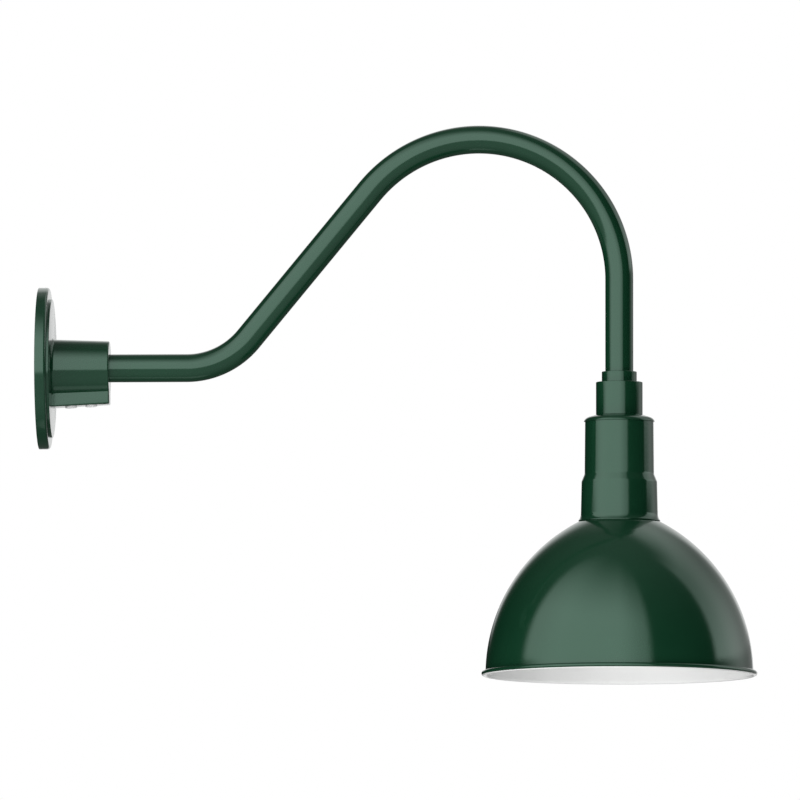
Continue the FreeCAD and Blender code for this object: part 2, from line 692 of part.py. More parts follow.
def hub_set_screw(name, along, level):
    """Set screw in the boss: local +Z points out of the boss, square to its sloping underside."""
    body = new_body(name)
    radius = "size.hub_screw_diameter / 2"
    reach_in = "((-%s - place.pipe_radius) / cos(size.boss_draft_angle) - place.screw_tip_lift)" % level
    turned(body, outline(body, "XZ_Plane", [
        ("0", "-" + reach_in),
        ("place.screw_tip", "-" + reach_in),
        (radius, "-" + reach_in + " + 2 * size.screw_chamfer"),
        (radius, "size.hub_screw_stand - size.screw_chamfer"),
        (radius + " - size.screw_chamfer", "size.hub_screw_stand"),
        ("0", "size.hub_screw_stand"),
    ]))
    pocketed(body, hexagon(body, "XY_Plane", "size.hub_screw_key", "size.hub_screw_stand"),
             "size.key_depth")
    body.Placement = Placement(Vector(), Rotation(Vector(0, 1, 0), 180))
    body.setExpression(".Placement.Base.x", along)
    body.setExpression(".Placement.Base.z", level)
    body.setExpression(".Placement.Rotation.Angle", "180 - size.boss_draft_angle")


# ---------------------------------------------------------------------------------------------------
# Arm: the bent pipe, the bushings in its ends and the leads through it
# ---------------------------------------------------------------------------------------------------

def gooseneck_arm():
    body = new_body("gooseneck_arm")
    path = outline(body, "XZ_Plane", [
        ("place.arm_start", "0"),
        ("place.lower_x", "0"),
        ("place.rise_foot_x", "place.rise_foot_z"),
        ("place.rise_top_x", "place.rise_top_z"),
        ("size.reach", "size.upper_bend_level"),
        ("size.reach", "place.pipe_end"),
    ], {1: "size.lower_bend_radius", 3: "-size.upper_bend_radius"}, closed=False)
    section = circles(body, "YZ_Plane", [
        ("0", "0", "place.pipe_radius"),
        ("0", "0", "place.pipe_bore"),
    ], "place.arm_start")
    doc.recompute()
    pipe = body.newObject("PartDesign::AdditivePipe", "gooseneck_arm_pipe")
    pipe.Profile = section
    pipe.Spine = path
    doc.recompute()
    return body


def pipe_bushing(name):
    """Plastic bushing that keeps the leads off the cut edge of the pipe: local +Z points into the pipe,
    whose end is at Z = 0."""
    body = new_body(name)
    turned(body, outline(body, "XZ_Plane", [
        ("place.pipe_bore - size.bushing_wall", "-size.bushing_flange"),
        ("place.pipe_radius - size.swivel_gap", "-size.bushing_flange"),
        ("place.pipe_radius - size.swivel_gap", "0"),
        ("place.pipe_bore", "0"),
        ("place.pipe_bore", "size.bushing_sleeve"),
        ("place.pipe_bore - size.bushing_wall", "size.bushing_sleeve"),
    ]))
    return body


def arm_bushings():
    wall_end = pipe_bushing("arm_bushing_wall")
    wall_end.Placement = Placement(Vector(), Rotation(Vector(0, 1, 0), 90))
    wall_end.setExpression(".Placement.Base.x", "place.arm_start")
    drop_end = pipe_bushing("arm_bushing_drop")
    on_drop_axis(drop_end).setExpression(".Placement.Base.z", "place.pipe_end")


def arm_leads():
    """Two leads side by side through the arm, from tails in the hollow wall plate to the drop end."""
    for name, side in (("arm_lead_black", "-"), ("arm_lead_white", "")):
        across = side + "size.lead_offset"
        tail_up = "size.lead_tail_length" if side else "-size.lead_tail_length"
        lead(name, [
            ("size.lead_tail_level", side + "size.lead_tail_spread", tail_up),
            ("size.lead_tail_level", side + "size.lead_tail_spread", "0"),
            ("size.lead_tail_level", across, "0"),
            ("place.lower_corner_x", across, "0"),
            ("size.reach", across, "place.upper_corner_z"),
            ("size.reach", across, "place.swivel_z"),
        ], ["size.lead_turn_bend", "size.lead_tail_bend", "size.lower_bend_radius",
            "size.upper_bend_radius"])


# ---------------------------------------------------------------------------------------------------
# Shade head: collar, nipple, neck, shade and lamp socket
# ---------------------------------------------------------------------------------------------------

def arm_collar():
    body = on_drop_axis(new_body("arm_collar"))
    ring = "size.collar_ring_diameter / 2"
    outer = "size.collar_diameter / 2"
    edge = "size.collar_chamfer"
    turned(body, outline(body, "XZ_Plane", [
        ("place.socket_bore", "place.collar_top"),
        (ring + " - " + edge, "place.collar_top"),
        (ring, "place.collar_top - " + edge),
        (ring, "place.ring_bottom"),
        (outer + " - " + edge, "place.ring_bottom"),
        (outer, "place.ring_bottom - " + edge),
        (outer, "place.cap_top"),
        ("place.nipple_radius", "place.cap_top"),
        ("place.nipple_radius", "place.collar_stop"),
        ("place.socket_bore", "place.collar_stop"),
    ]))
    hole = "size.collar_screw_diameter / 2 + size.thread_clearance"
    sketch = outline(body, "YZ_Plane", [
        ("place.pipe_radius / 2", "place.collar_screw_z"),
        (outer + " + " + edge, "place.collar_screw_z"),
        (outer + " + " + edge, "place.collar_screw_z + " + hole),
        ("place.pipe_radius / 2", "place.collar_screw_z + " + hole),
    ])
    tilted_axis(sketch, ("0", "place.collar_screw_z"), (outer, "place.collar_screw_z"))
    bored(body, sketch, "Axis0")


def collar_set_screw():
    """Set screw at the back of the collar: local +Z points out of it."""
    body = new_body("collar_set_screw")
    radius = "size.collar_screw_diameter / 2"
    length_in = "(size.collar_diameter / 2 - place.pipe_radius - size.slip_clearance)"
    turned(body, outline(body, "XZ_Plane", [
        ("0", "-" + length_in),
        (radius + " - size.screw_chamfer", "-" + length_in),
        (radius, "-" + length_in + " + size.screw_chamfer"),
        (radius, "0"),
        (radius + " - size.screw_chamfer", "size.collar_screw_stand"),
        ("0", "size.collar_screw_stand"),
    ]))
    pocketed(body, hexagon(body, "XY_Plane", "size.collar_screw_key", "size.collar_screw_stand"),
             "size.key_depth")
    body.Placement = Placement(Vector(), Rotation(Vector(1, 0, 0), -90))
    body.setExpression(".Placement.Base.x", "size.reach")
    body.setExpression(".Placement.Base.y", "size.collar_diameter / 2")
    body.setExpression(".Placement.Base.z", "place.collar_screw_z")


def fitter_nipple():
    body = on_drop_axis(new_body("fitter_nipple"))
    bore = "size.nipple_bore / 2"
    turned(body, outline(body, "XZ_Plane", [
        (bore, "place.collar_stop"),
        ("place.nipple_radius", "place.collar_stop"),
        ("place.nipple_radius", "place.nipple_bottom"),
        (bore, "place.nipple_bottom"),
    ]))


def nipple_bushing():
    body = on_drop_axis(new_body("nipple_bushing"))
    bore = "size.nipple_bore / 2"
    eye = bore + " - size.bushing_wall"
    turned(body, outline(body, "XZ_Plane", [
        (eye, "place.nipple_bottom - size.nipple_bushing_flange"),
        ("place.nipple_radius", "place.nipple_bottom - size.nipple_bushing_flange"),
        ("place.nipple_radius", "place.nipple_bottom"),
        (bore, "place.nipple_bottom"),
        (bore, "place.nipple_bottom + size.nipple_bushing_sleeve"),
        (eye, "place.nipple_bottom + size.nipple_bushing_sleeve"),
    ]))


def locknut(name, top):
    body = on_drop_axis(new_body(name))
    padded(body, hexagon(body, "XY_Plane", "size.nut_across_flats", top), "size.nut_thickness",
           reverse=True)
    pocketed(body, circles(body, "XY_Plane", [("0", "0", "place.nipple_radius")], top),
             "size.nut_thickness")


def neck_cap():
    body = on_drop_axis(new_body("neck_cap"))
    turned(body, outline(body, "XZ_Plane", [
        ("place.nipple_radius", "place.cap_top"),
        ("place.cap_flat", "place.cap_top"),
        ("place.cap_cone_r", "place.cap_cone_z"),
        ("place.cap_radius", "place.cap_arc_z"),
        ("place.cap_radius", "place.cap_bottom"),
        ("place.cap_radius - size.cap_wall", "place.cap_bottom"),
        ("place.cap_radius - size.cap_wall", "place.cap_arc_z"),
        ("place.cap_inner_r", "place.cap_inner_z"),
        ("place.cap_flat", "place.cap_nut_top"),
        ("place.nipple_radius", "place.cap_nut_top"),
    ], {2: "-size.cap_shoulder_radius", 6: "place.cap_inner_arc"}))


def cap_gasket():
    body = on_drop_axis(new_body("cap_gasket"))
    turned(body, outline(body, "XZ_Plane", [
        ("place.cap_gasket_r - size.cap_gasket_width", "place.cup_top"),
        ("place.cap_gasket_r", "place.cup_top"),
        ("place.cap_gasket_r", "place.cap_gasket_top"),
        ("place.cap_gasket_r - size.cap_gasket_width", "place.cap_gasket_top"),
    ]))


def neck_cup():
    body = on_drop_axis(new_body("neck_cup"))
    wall = " - size.cup_wall"
    lip = "place.cup_top_r - size.cup_lip_width"
    turned(body, outline(body, "XZ_Plane", [
        (lip, "place.cup_top"),
        ("place.cup_top_r", "place.cup_top"),
        ("place.waist_r", "place.step_top"),
        ("place.step_r", "place.step_bottom"),
        ("place.lower_r", "place.flare_top"),
        ("place.flare_r", "place.cup_bottom"),
        ("place.flare_inner_r", "place.flare_inner_z"),
        ("place.lower_r" + wall, "place.flare_top"),
        ("place.step_r" + wall, "place.step_bottom"),
        ("place.waist_r" + wall, "place.step_top"),
        ("place.cup_top_r" + wall, "place.cup_top" + wall),
        (lip, "place.cup_top" + wall),
    ], {4: "place.flare_bend", 6: "-(place.flare_bend + size.cup_wall)"}))
    corners = [number("place.step_top"), number("place.step_bottom")]
    rounded(body, "size.cup_corner_radius", lambda edge: (
        isinstance(edge.Curve, Part.Circle)
        and min(abs(edge.CenterOfMass.z - level) for level in corners) < 1e-3))


def hanger_plate():
    """Round plate that bears up against the inside of the neck's step."""
    body = on_drop_axis(new_body("hanger_plate"))
    padded(body, circles(body, "XY_Plane", [("0", "0", "place.hanger_r")], "place.hanger_top"),
           "size.hanger_thickness", reverse=True)
    screws = [(side + "size.socket_screw_spacing / 2", "0", "size.machine_screw_hole / 2")
              for side in ("", "-")]
    pocketed(body, circles(body, "XY_Plane", [("0", "0", "place.nipple_radius")] + screws,
                           "place.hanger_top"), "size.hanger_thickness")
    around(body, pocketed(body, circles(body, "XY_Plane", [
        ("0", "size.shade_screw_circle / 2", "size.machine_screw_diameter / 2"),
    ], "place.hanger_top"), "size.hanger_thickness"))


def on_bead(radius, angle):
    """A point on the section of the curled rim, by its angle from outward."""
    return ("place.bead_r + %s * cos(%s)" % (radius, angle), "place.bead_z + %s * sin(%s)" % (radius, angle))


def shade():
    """Spun bowl: a flange under the hanger plate, an upstand in the neck, one arc and a curled rim."""
    body = on_drop_axis(new_body("shade"))
    eye = "size.shade_flange_bore / 2"
    bead = "size.rim_bead_radius"
    hollow = "place.bead_hollow"
    curl = "size.rim_curl_angle"
    turned(body, outline(body, "XZ_Plane", [
        (eye, "place.hanger_bottom"),
        ("place.upstand_r", "place.hanger_bottom"),
        ("place.upstand_r", "place.crown_z"),
        ("place.rim_r", "place.bead_z"),
        ("place.bead_r", "place.bead_z - " + hollow),
        ("place.bead_r + " + hollow, "place.bead_z"),
        on_bead(hollow, curl),
        on_bead(bead, curl),
        on_bead(bead, "size.rim_curl_angle / 6"),
        on_bead(bead, "-size.rim_curl_angle * 2 / 3"),
        ("place.rim_inner_r", "place.bead_z"),
        ("place.upstand_inner_r", "place.crown_inner_z"),
        ("place.upstand_inner_r", "place.shade_flange_bottom"),
        (eye, "place.shade_flange_bottom"),
    ], {2: "-size.shade_arc_radius", 3: hollow, 4: hollow, 5: hollow,
        7: "-" + bead, 8: "-" + bead, 9: "-" + bead, 10: "place.shade_inner_arc"}))
    around(body, pocketed(body, circles(body, "XY_Plane", [
        ("0", "size.shade_screw_circle / 2", "size.machine_screw_hole / 2"),
    ], "place.hanger_bottom"), "size.shade_wall"))


def standing_screws(name, plane, out, seat, shank_end, count, head_up):
    """Equal pan head screws on a circle about the drop axis, their heads against the level of the seat."""
    body = on_drop_axis(new_body(name))
    shank = out + " + size.machine_screw_diameter / 2"
    head = out + " + size.machine_screw_head / 2"
    away = " + " if head_up else " - "
    crown = seat + away + "size.machine_screw_head_height"
    corner = seat + away + "(size.machine_screw_head_height - size.screw_chamfer)"
    sketch = outline(body, plane, [
        (out, crown),
        (head + " - size.screw_chamfer", crown),
        (head, corner),
        (head, seat),
        (shank, seat),
        (shank, shank_end),
        (out, shank_end),
    ])
    tilted_axis(sketch, (out, seat), (out, crown))
    around(body, turned(body, sketch, "Axis0"), count)


def shade_screws():
    """Screws up through the shade's flange into the hanger plate."""
    standing_screws("shade_screws", "YZ_Plane", "size.shade_screw_circle / 2", "place.shade_flange_bottom",
                    "place.hanger_top", "size.shade_screw_count", False)


def socket_screws():
    """Screws down through the hanger plate and the spacers into the lamp socket."""
    standing_screws("socket_screws", "XZ_Plane", "size.socket_screw_spacing / 2", "place.hanger_top",
                    "place.socket_top - size.socket_screw_grip", "2", True)


def socket_spacers():
    body = on_drop_axis(new_body("socket_spacers"))
    out = "size.socket_screw_spacing / 2"
    sketch = outline(body, "XZ_Plane", [
        (out + " + size.machine_screw_diameter / 2", "place.hanger_bottom"),
        (out + " + size.spacer_diameter / 2", "place.hanger_bottom"),
        (out + " + size.spacer_diameter / 2", "place.socket_top"),
        (out + " + size.machine_screw_diameter / 2", "place.socket_top"),
    ])
    tilted_axis(sketch, (out, "place.socket_top"), (out, "place.hanger_bottom"))
    around(body, turned(body, sketch, "Axis0"), "2")


def socket_body():
    """Glazed porcelain: a base with notches for the terminals, and a barrel round the screw shell."""
    body = on_drop_axis(new_body("socket_body"))
    base = "size.socket_base_diameter / 2"
    turned(body, outline(body, "XZ_Plane", [
        ("0", "place.socket_top"),
        (base, "place.socket_top"),
        (base, "place.base_bottom"),
        ("size.socket_barrel_diameter / 2", "place.base_bottom"),
        ("size.socket_mouth_diameter / 2", "place.socket_bottom"),
        ("place.shell_outer_r", "place.socket_bottom"),
        ("place.shell_outer_r", "place.shell_top"),
        ("size.socket_shell_eye / 2", "place.shell_top"),
        ("size.socket_shell_eye / 2", "place.shell_top + size.contact_recess"),
        ("place.guide_r", "place.shell_top + size.contact_recess"),
        ("place.guide_r", "place.shell_top + size.contact_guide_depth"),
        ("0", "place.shell_top + size.contact_guide_depth"),
    ]))
    pocketed(body, circles(body, "XY_Plane", [
        (side + "size.socket_screw_spacing / 2", "0", "size.machine_screw_diameter / 2")
        for side in ("", "-")
    ], "place.socket_top"), "size.socket_screw_grip")
    half = "size.terminal_notch_width / 2"
    for side in ("", "-"):
        seat = side + "size.terminal_seat"
        beyond = side + "size.socket_base_diameter"
        pocketed(body, outline(body, "XY_Plane", [
            ("-" + half, seat), (half, seat), (half, beyond), ("-" + half, beyond),
        ], offset="place.socket_top"), "size.socket_base_height")
        deep = side + "(size.terminal_seat - size.terminal_grip)"
        edge = "place.terminal_z + size.machine_screw_diameter / 2"
        sketch = outline(body, "YZ_Plane", [
            (deep, "place.terminal_z"), (beyond, "place.terminal_z"), (beyond, edge), (deep, edge),
        ])
        tilted_axis(sketch, (deep, "place.terminal_z"), (beyond, "place.terminal_z"))
        bored(body, sketch, "Axis0")


def socket_shell():
    """Screw shell for a medium lamp base, closed to an eye at the top."""
    body = on_drop_axis(new_body("socket_shell"))
    wall = "size.socket_shell_wall"
    eye = "size.socket_shell_eye / 2"
    turned(body, outline(body, "XZ_Plane", [
        (eye, "place.shell_top"),
        ("place.shell_outer_r", "place.shell_top"),
        ("place.shell_outer_r", "place.shell_bottom"),
        ("place.shell_r", "place.shell_bottom"),
        ("place.shell_r", "place.shell_top - " + wall),
        (eye, "place.shell_top - " + wall),
    ]))


def centre_contact():
    """Sprung contact button with the stem that slides in the socket's floor."""
    body = on_drop_axis(new_body("centre_contact"))
    stem = "size.contact_stem_diameter / 2"
    button = "size.contact_diameter / 2"
    turned(body, outline(body, "XZ_Plane", [
        ("0", "place.contact_bottom"),
        (button, "place.contact_bottom"),
        (button, "place.contact_top"),
        (stem, "place.contact_top"),
        (stem, "place.contact_bottom + size.contact_stem_length"),
        ("0", "place.contact_bottom + size.contact_stem_length"),
    ]))


def terminal_screw(name, side):
    """Binding screw in a notch of the socket: local +Z points out of it."""
    body = new_body(name)
    shank = "size.machine_screw_diameter / 2"
    head = "size.machine_screw_head / 2"
    turned(body, outline(body, "XZ_Plane", [
        ("0", "-size.terminal_grip"),
        (shank, "-size.terminal_grip"),
        (shank, "0"),
        (head, "0"),
        (head, "size.machine_screw_head_height - size.screw_chamfer"),
        (head + " - size.screw_chamfer", "size.machine_screw_head_height"),
        ("0", "size.machine_screw_head_height"),
    ]))
    body.Placement = Placement(Vector(), Rotation(Vector(1, 0, 0), 90 if side == "-" else -90))
    on_drop_axis(body).setExpression(".Placement.Base.y", side + "size.terminal_seat")
    body.setExpression(".Placement.Base.z", "place.terminal_z")


def socket_leads():
    """Leads from the end of the arm down through the nipple, and out to the socket's terminals."""
    for name, side in (("socket_lead_black", "-"), ("socket_lead_white", "")):
        inner = side + "size.lead_offset"
        outer = side + "place.lead_seat"
        lead(name, [
            ("size.reach", inner, "place.swivel_z - size.swivel_gap"),
            ("size.reach", inner, "place.lead_bend_top"),
            ("size.reach", outer, "place.lead_bend_foot"),
            ("size.reach", outer, "place.lead_tip_z"),
        ], ["size.lead_turn_bend", "size.lead_turn_bend"])


# ---------------------------------------------------------------------------------------------------
# Build, check and write every sub-part
# ---------------------------------------------------------------------------------------------------

wall_plate()
wall_gasket()
ground_screw()
ground_lug()
ground_lead()
hub_set_screw("hub_set_screw_inner", "size.hub_screw_first", "place.first_screw_z")
hub_set_screw("hub_set_screw_outer", "size.hub_screw_second", "place.second_screw_z")
gooseneck_arm()
arm_bushings()
arm_leads()
arm_collar()
collar_set_screw()
fitter_nipple()
nipple_bushing()
neck_cap()
cap_gasket()
locknut("cap_locknut", "place.cap_nut_top")
neck_cup()
hanger_plate()
locknut("hanger_locknut", "place.hanger_bottom")
shade()
shade_screws()
socket_screws()
socket_spacers()
socket_body()
socket_shell()
centre_contact()
terminal_screw("terminal_screw_brass", "-")
terminal_screw("terminal_screw_silver", "")
socket_leads()
doc.recompute()

for item in doc.Objects:
    if {"Invalid", "Error"} & set(item.State):
        raise ValueError("failed: " + item.Name)

os.makedirs("parts", exist_ok=True)
for node in NODES:
    shape = node.Shape
    if shape.isNull() or not shape.isValid():
        raise ValueError("bad shape: " + node.Label)
    shape.exportStep("parts/%s.step" % node.Label)
    box = shape.BoundBox
    print("%-22s %d solid(s) %10.1f mm3  X %.1f %.1f  Y %.1f %.1f  Z %.1f %.1f" % (
        node.Label, len(shape.Solids), shape.Volume, box.XMin, box.XMax, box.YMin, box.YMax,
        box.ZMin, box.ZMax))
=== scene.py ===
# %% [markdown]
# # A gooseneck wall light
# The light is a cast wall plate, a bent pipe arm, and a spun shade that hangs from a collar and a
# stepped neck. The engineering model is loaded first as a fixed frame. It says where every piece
# is and how it moves. The arm, the plate, the set screws, the collar, the neck and the shade are
# then modelled again here with rounded edges, because a glossy coat shows its shape mostly
# through the highlights that run along its edges.

import json
import math

import bpy
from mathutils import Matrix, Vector

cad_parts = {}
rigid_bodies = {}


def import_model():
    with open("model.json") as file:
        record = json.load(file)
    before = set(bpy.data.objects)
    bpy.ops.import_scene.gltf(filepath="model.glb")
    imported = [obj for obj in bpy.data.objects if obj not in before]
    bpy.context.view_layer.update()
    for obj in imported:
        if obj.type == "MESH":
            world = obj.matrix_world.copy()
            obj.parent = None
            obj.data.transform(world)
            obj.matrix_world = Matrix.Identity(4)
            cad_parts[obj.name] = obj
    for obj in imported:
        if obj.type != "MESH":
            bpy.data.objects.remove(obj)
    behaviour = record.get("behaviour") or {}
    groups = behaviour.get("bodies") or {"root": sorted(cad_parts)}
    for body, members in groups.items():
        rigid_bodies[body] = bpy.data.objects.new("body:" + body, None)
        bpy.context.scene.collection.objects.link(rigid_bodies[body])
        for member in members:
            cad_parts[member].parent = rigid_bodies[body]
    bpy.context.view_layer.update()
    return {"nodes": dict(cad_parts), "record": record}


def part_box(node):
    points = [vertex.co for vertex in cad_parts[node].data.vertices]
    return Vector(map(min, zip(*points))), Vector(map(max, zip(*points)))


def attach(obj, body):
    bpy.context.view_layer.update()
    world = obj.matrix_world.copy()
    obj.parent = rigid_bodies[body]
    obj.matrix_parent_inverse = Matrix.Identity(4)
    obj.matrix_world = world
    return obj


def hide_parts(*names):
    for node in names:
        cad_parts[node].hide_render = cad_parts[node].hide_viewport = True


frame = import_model()

# %% [markdown]
# ## Sizes
# All sizes are in millimetres, as on a drawing, and are turned into Blender's metres in one
# place. The wall is at X = 0, the arm leaves it along +X, and the shade hangs on a vertical axis,
# the drop axis.

# %% Sizes shared by several pieces
MM = 0.001
REACH = 553.0                 # from the wall to the drop axis
PIPE_RADIUS = 26.67 / 2
PIPE_WALL = 2.87
SLIP = 0.08                   # room round the pipe in the hub and in the collar
COLLAR_TOP = -5.0
RING_BOTTOM = -15.0
CAP_TOP = -46.3
CUP_BOTTOM = -147.0
DROP_AXIS = (REACH, 0.0, 0.0)
WALL_AXIS = (0.0, 0.0, 0.0)


def metres(x, y, z):
    """A place given in millimetres."""
    return Vector((x, y, z)) * MM


# %% [markdown]
# ## Drawing a profile
# Most of this light is turned or spun, so most pieces start as half a section through their axis.
# A primitive is merged to one vertex, and that vertex is extruded along the straight edges and
# spun round the arcs, just as a section is drawn by hand. The pen below does one edge at a time
# and can round the corner it has just passed. Rounding each corner in the profile is cheaper and
# cleaner than a bevel after the turning.

# %% A pen that extrudes one vertex
class Pen:
    """Draws a section in the plane Y = 0, in millimetres. across is measured along X, up along Z."""

    ARC_STEP = math.radians(9)

    def __init__(self, name, across, up, origin=DROP_AXIS):
        bpy.ops.object.select_all(action="DESELECT")
        bpy.ops.mesh.primitive_plane_add(size=MM)
        self.piece = bpy.context.object
        self.piece.name = name
        self.origin = Vector(origin)
        bpy.ops.object.mode_set(mode="EDIT")
        bpy.ops.mesh.select_mode(type="VERT")
        bpy.ops.mesh.select_all(action="SELECT")
        bpy.ops.mesh.merge(type="CENTER")
        self.at = Vector((across, 0.0, up))
        self.corner = None
        bpy.ops.transform.translate(value=(self.at + self.origin) * MM)

    def _edge(self, target):
        run = target - self.at
        if run.length > 1e-6:
            bpy.ops.mesh.extrude_region_move(TRANSFORM_OT_translate={"value": run * MM})
            self.at = target

    def _arc(self, centre, turn, steps=None):
        """Carry the vertex round a centre. A positive turn takes +X towards +Z."""
        steps = steps or max(2, math.ceil(abs(turn) / self.ARC_STEP))
        bpy.ops.mesh.spin(steps=steps, angle=abs(turn), center=(centre + self.origin) * MM,
                          axis=(0, 1 if turn > 0 else -1, 0))
        arm = self.at - centre
        cos, sin = math.cos(turn), math.sin(turn)
        self.at = centre + Vector((arm.x * cos - arm.z * sin, 0, arm.x * sin + arm.z * cos))

    def _finish_corner(self, following=None):
        """Draw up to the corner that is waiting, rounded if the next point is known."""
        if self.corner is None:
            return
        corner, radius = self.corner
        self.corner = None
        if not radius or following is None:
            self._edge(corner)
            return
        back = (self.at - corner).normalized()
        onward = (following - corner).normalized()
        half = back.angle(onward) / 2
        self._edge(corner + back * (radius / math.tan(half)))
        centre = corner + (back + onward).normalized() * (radius / math.sin(half))
        bend = math.pi - 2 * half
        leftward = back.z * onward.x - back.x * onward.z > 0
        self._arc(centre, bend if leftward else -bend)

    def to(self, across, up, rounding=0.0):
        """A straight edge to a corner, which is rounded once the next edge is drawn."""
        target = Vector((across, 0.0, up))
        self._finish_corner(target)
        self.corner = (target, rounding)
        return self

    def swing(self, across, up, degrees, steps=None):
        """An arc about a centre."""
        self._finish_corner()
        self._arc(Vector((across, 0.0, up)), math.radians(degrees), steps)
        return self

    def close(self):
        """Leave the drawn section in edit mode."""
        self._finish_corner()
        return self.piece


print("profile pen ready, arc step", round(math.degrees(Pen.ARC_STEP)), "degrees")

# %% [markdown]
# ## Turning the profile
# Spin carries the whole section round the axis in small steps. The first and last copies of the
# section fall on each other, so doubles are merged, and because a spin can turn a shape inside
# out, its normals are worked out again afterwards. Smooth shading is limited by angle so that
# real corners stay crisp.

# %% Turn a section into a solid
MERGE_GAP = 0.002 * MM
SMOOTH_DEGREES = 32           # an edge with a sharper turn than this stays crisp


def settle(piece, smooth_degrees=SMOOTH_DEGREES):
    """Merge what spin and extrude left double, point the faces outwards and smooth them."""
    bpy.ops.object.mode_set(mode="EDIT")
    bpy.ops.mesh.select_all(action="SELECT")
    bpy.ops.mesh.remove_doubles(threshold=MERGE_GAP)
    bpy.ops.mesh.normals_make_consistent(inside=False)
    bpy.ops.object.mode_set(mode="OBJECT")
    bpy.ops.object.select_all(action="DESELECT")
    piece.select_set(True)
    bpy.context.view_layer.objects.active = piece
    bpy.ops.object.shade_smooth_by_angle(angle=math.radians(smooth_degrees))
    print("%-22s %6d faces" % (piece.name, len(piece.data.polygons)))
    return piece


def turn_round(piece, origin=DROP_AXIS, axis=(0, 0, 1), steps=144):
    """Spin the section that is open in edit mode once about an axis."""
    bpy.ops.mesh.select_all(action="SELECT")
    bpy.ops.mesh.spin(steps=steps, angle=2 * math.pi, center=Vector(origin) * MM, axis=axis)
    return settle(piece)


# %% [markdown]
# ## The arm
# The arm is one length of three-quarter inch pipe with two bends. It is made as a pipe bender
# makes it: a ring is pushed straight, carried round the first bend, pushed on and carried round
# the second. Spin about the centre of the bend keeps the ring square to the bend at every step.
# Solidify then gives the pipe its wall. Its cut ends are sharp, so the smooth shading by angle is
# done again after that: a soft normal at a cut end would bend the reflections along the whole
# straight run.

# %% Bend the arm
RISE = math.radians(50.5)
LOWER_BEND = 76.0
UPPER_BEND = 134.0
UPPER_LEVEL = 83.0
ARM_START = 13.8
PIPE_END = -36.0
BEND_STEP = math.radians(1.5)
PIPE_SIDES = 72

upper_centre = Vector((REACH - UPPER_BEND, 0, UPPER_LEVEL))
rise_top = upper_centre + Vector((-math.sin(RISE), 0, math.cos(RISE))) * UPPER_BEND
rise_foot_z = LOWER_BEND * (1 - math.cos(RISE))
rise_length = (rise_top.z - rise_foot_z) / math.sin(RISE)
rise_along = Vector((math.cos(RISE), 0, math.sin(RISE))) * rise_length
lower_x = rise_top.x - rise_along.x - LOWER_BEND * math.sin(RISE)


def push(along):
    """Draw the ring straight on."""
    bpy.ops.mesh.extrude_region_move(TRANSFORM_OT_translate={"value": along * MM})


def carry_round(centre, turn):
    """Bend about an axis across the arm; a positive turn lifts the pipe."""
    bpy.ops.mesh.spin(steps=math.ceil(abs(turn) / BEND_STEP), angle=abs(turn), center=centre * MM,
                      axis=(0, 1 if turn > 0 else -1, 0))


bpy.ops.object.select_all(action="DESELECT")
bpy.ops.mesh.primitive_circle_add(vertices=PIPE_SIDES, radius=PIPE_RADIUS * MM,
                                  location=metres(ARM_START, 0, 0), rotation=(0, math.pi / 2, 0))
arm = bpy.context.object
arm.name = "arm_pipe"
bpy.ops.object.transform_apply(location=True, rotation=True, scale=True)
bpy.ops.object.mode_set(mode="EDIT")
bpy.ops.mesh.select_mode(type="VERT")
bpy.ops.mesh.select_all(action="SELECT")
push(Vector((lower_x - ARM_START, 0, 0)))
carry_round(Vector((lower_x, 0, LOWER_BEND)), RISE)
push(rise_along)
carry_round(upper_centre, -(RISE + math.pi / 2))
push(Vector((0, 0, PIPE_END - UPPER_LEVEL)))
settle(arm)
wall = arm.modifiers.new("pipe wall", "SOLIDIFY")
wall.thickness = PIPE_WALL * MM
wall.offset = -1
bpy.ops.object.modifier_apply(modifier=wall.name)
bpy.ops.object.shade_smooth_by_angle(angle=math.radians(SMOOTH_DEGREES))
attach(arm, "arm")
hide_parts("gooseneck_arm")
frame_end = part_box("gooseneck_arm")[1][0]
print("arm reaches", round(arm.bound_box[6][0] / MM, 2), "and the frame's", round(frame_end / MM, 2))

# %% [markdown]
# ## The wall plate
# The plate is one casting: a thick rim, a raised step, and a tapered hub for the arm, with a boss
# under the hub that carries two set screws. The round part is turned about the hub's axis from
# one section, with the hollow back and the bore drawn in the same section. The boss is a block
# whose underside slopes. A Boolean joins the two, as the pattern maker would, so that no inner
# faces are left.

# %% Turn the plate and hub
PLATE_RADIUS = 77.0
PLATE_THICKNESS = 10.4
FACE_X = 13.0
STEP_RADIUS = 66.0
HUB_ROOT = 27.6
HUB_NOSE = 25.8
HUB_LENGTH = 67.4
HUB_STOP = 12.0
CASTING_WALL = 4.0
CAVITY_RADIUS = 71.0
GASKET_RADIUS = 74.0
GASKET_DEPTH = 2.0
PASSAGE_RADIUS = 9.0
BORE = PIPE_RADIUS + SLIP

pen = Pen("plate_casting", 0, CAVITY_RADIUS + 3, WALL_AXIS)
pen.to(0, PLATE_RADIUS, 0.6)
pen.to(PLATE_THICKNESS, PLATE_RADIUS, 2.4)
pen.to(PLATE_THICKNESS, STEP_RADIUS, 0.5)
pen.to(FACE_X, STEP_RADIUS, 0.7)
pen.to(FACE_X, HUB_ROOT, 2.6)
pen.to(HUB_LENGTH, HUB_NOSE, 1.3)
pen.to(HUB_LENGTH, BORE, 0.5)
pen.to(HUB_STOP, BORE)
pen.to(HUB_STOP, PASSAGE_RADIUS, 0.4)
pen.to(FACE_X - CASTING_WALL, PASSAGE_RADIUS, 0.4)
pen.to(FACE_X - CASTING_WALL, STEP_RADIUS - CASTING_WALL, 1.0)
pen.to(PLATE_THICKNESS - CASTING_WALL, STEP_RADIUS - CASTING_WALL, 0.6)
pen.to(PLATE_THICKNESS - CASTING_WALL, CAVITY_RADIUS, 1.0)
pen.to(GASKET_DEPTH, CAVITY_RADIUS)
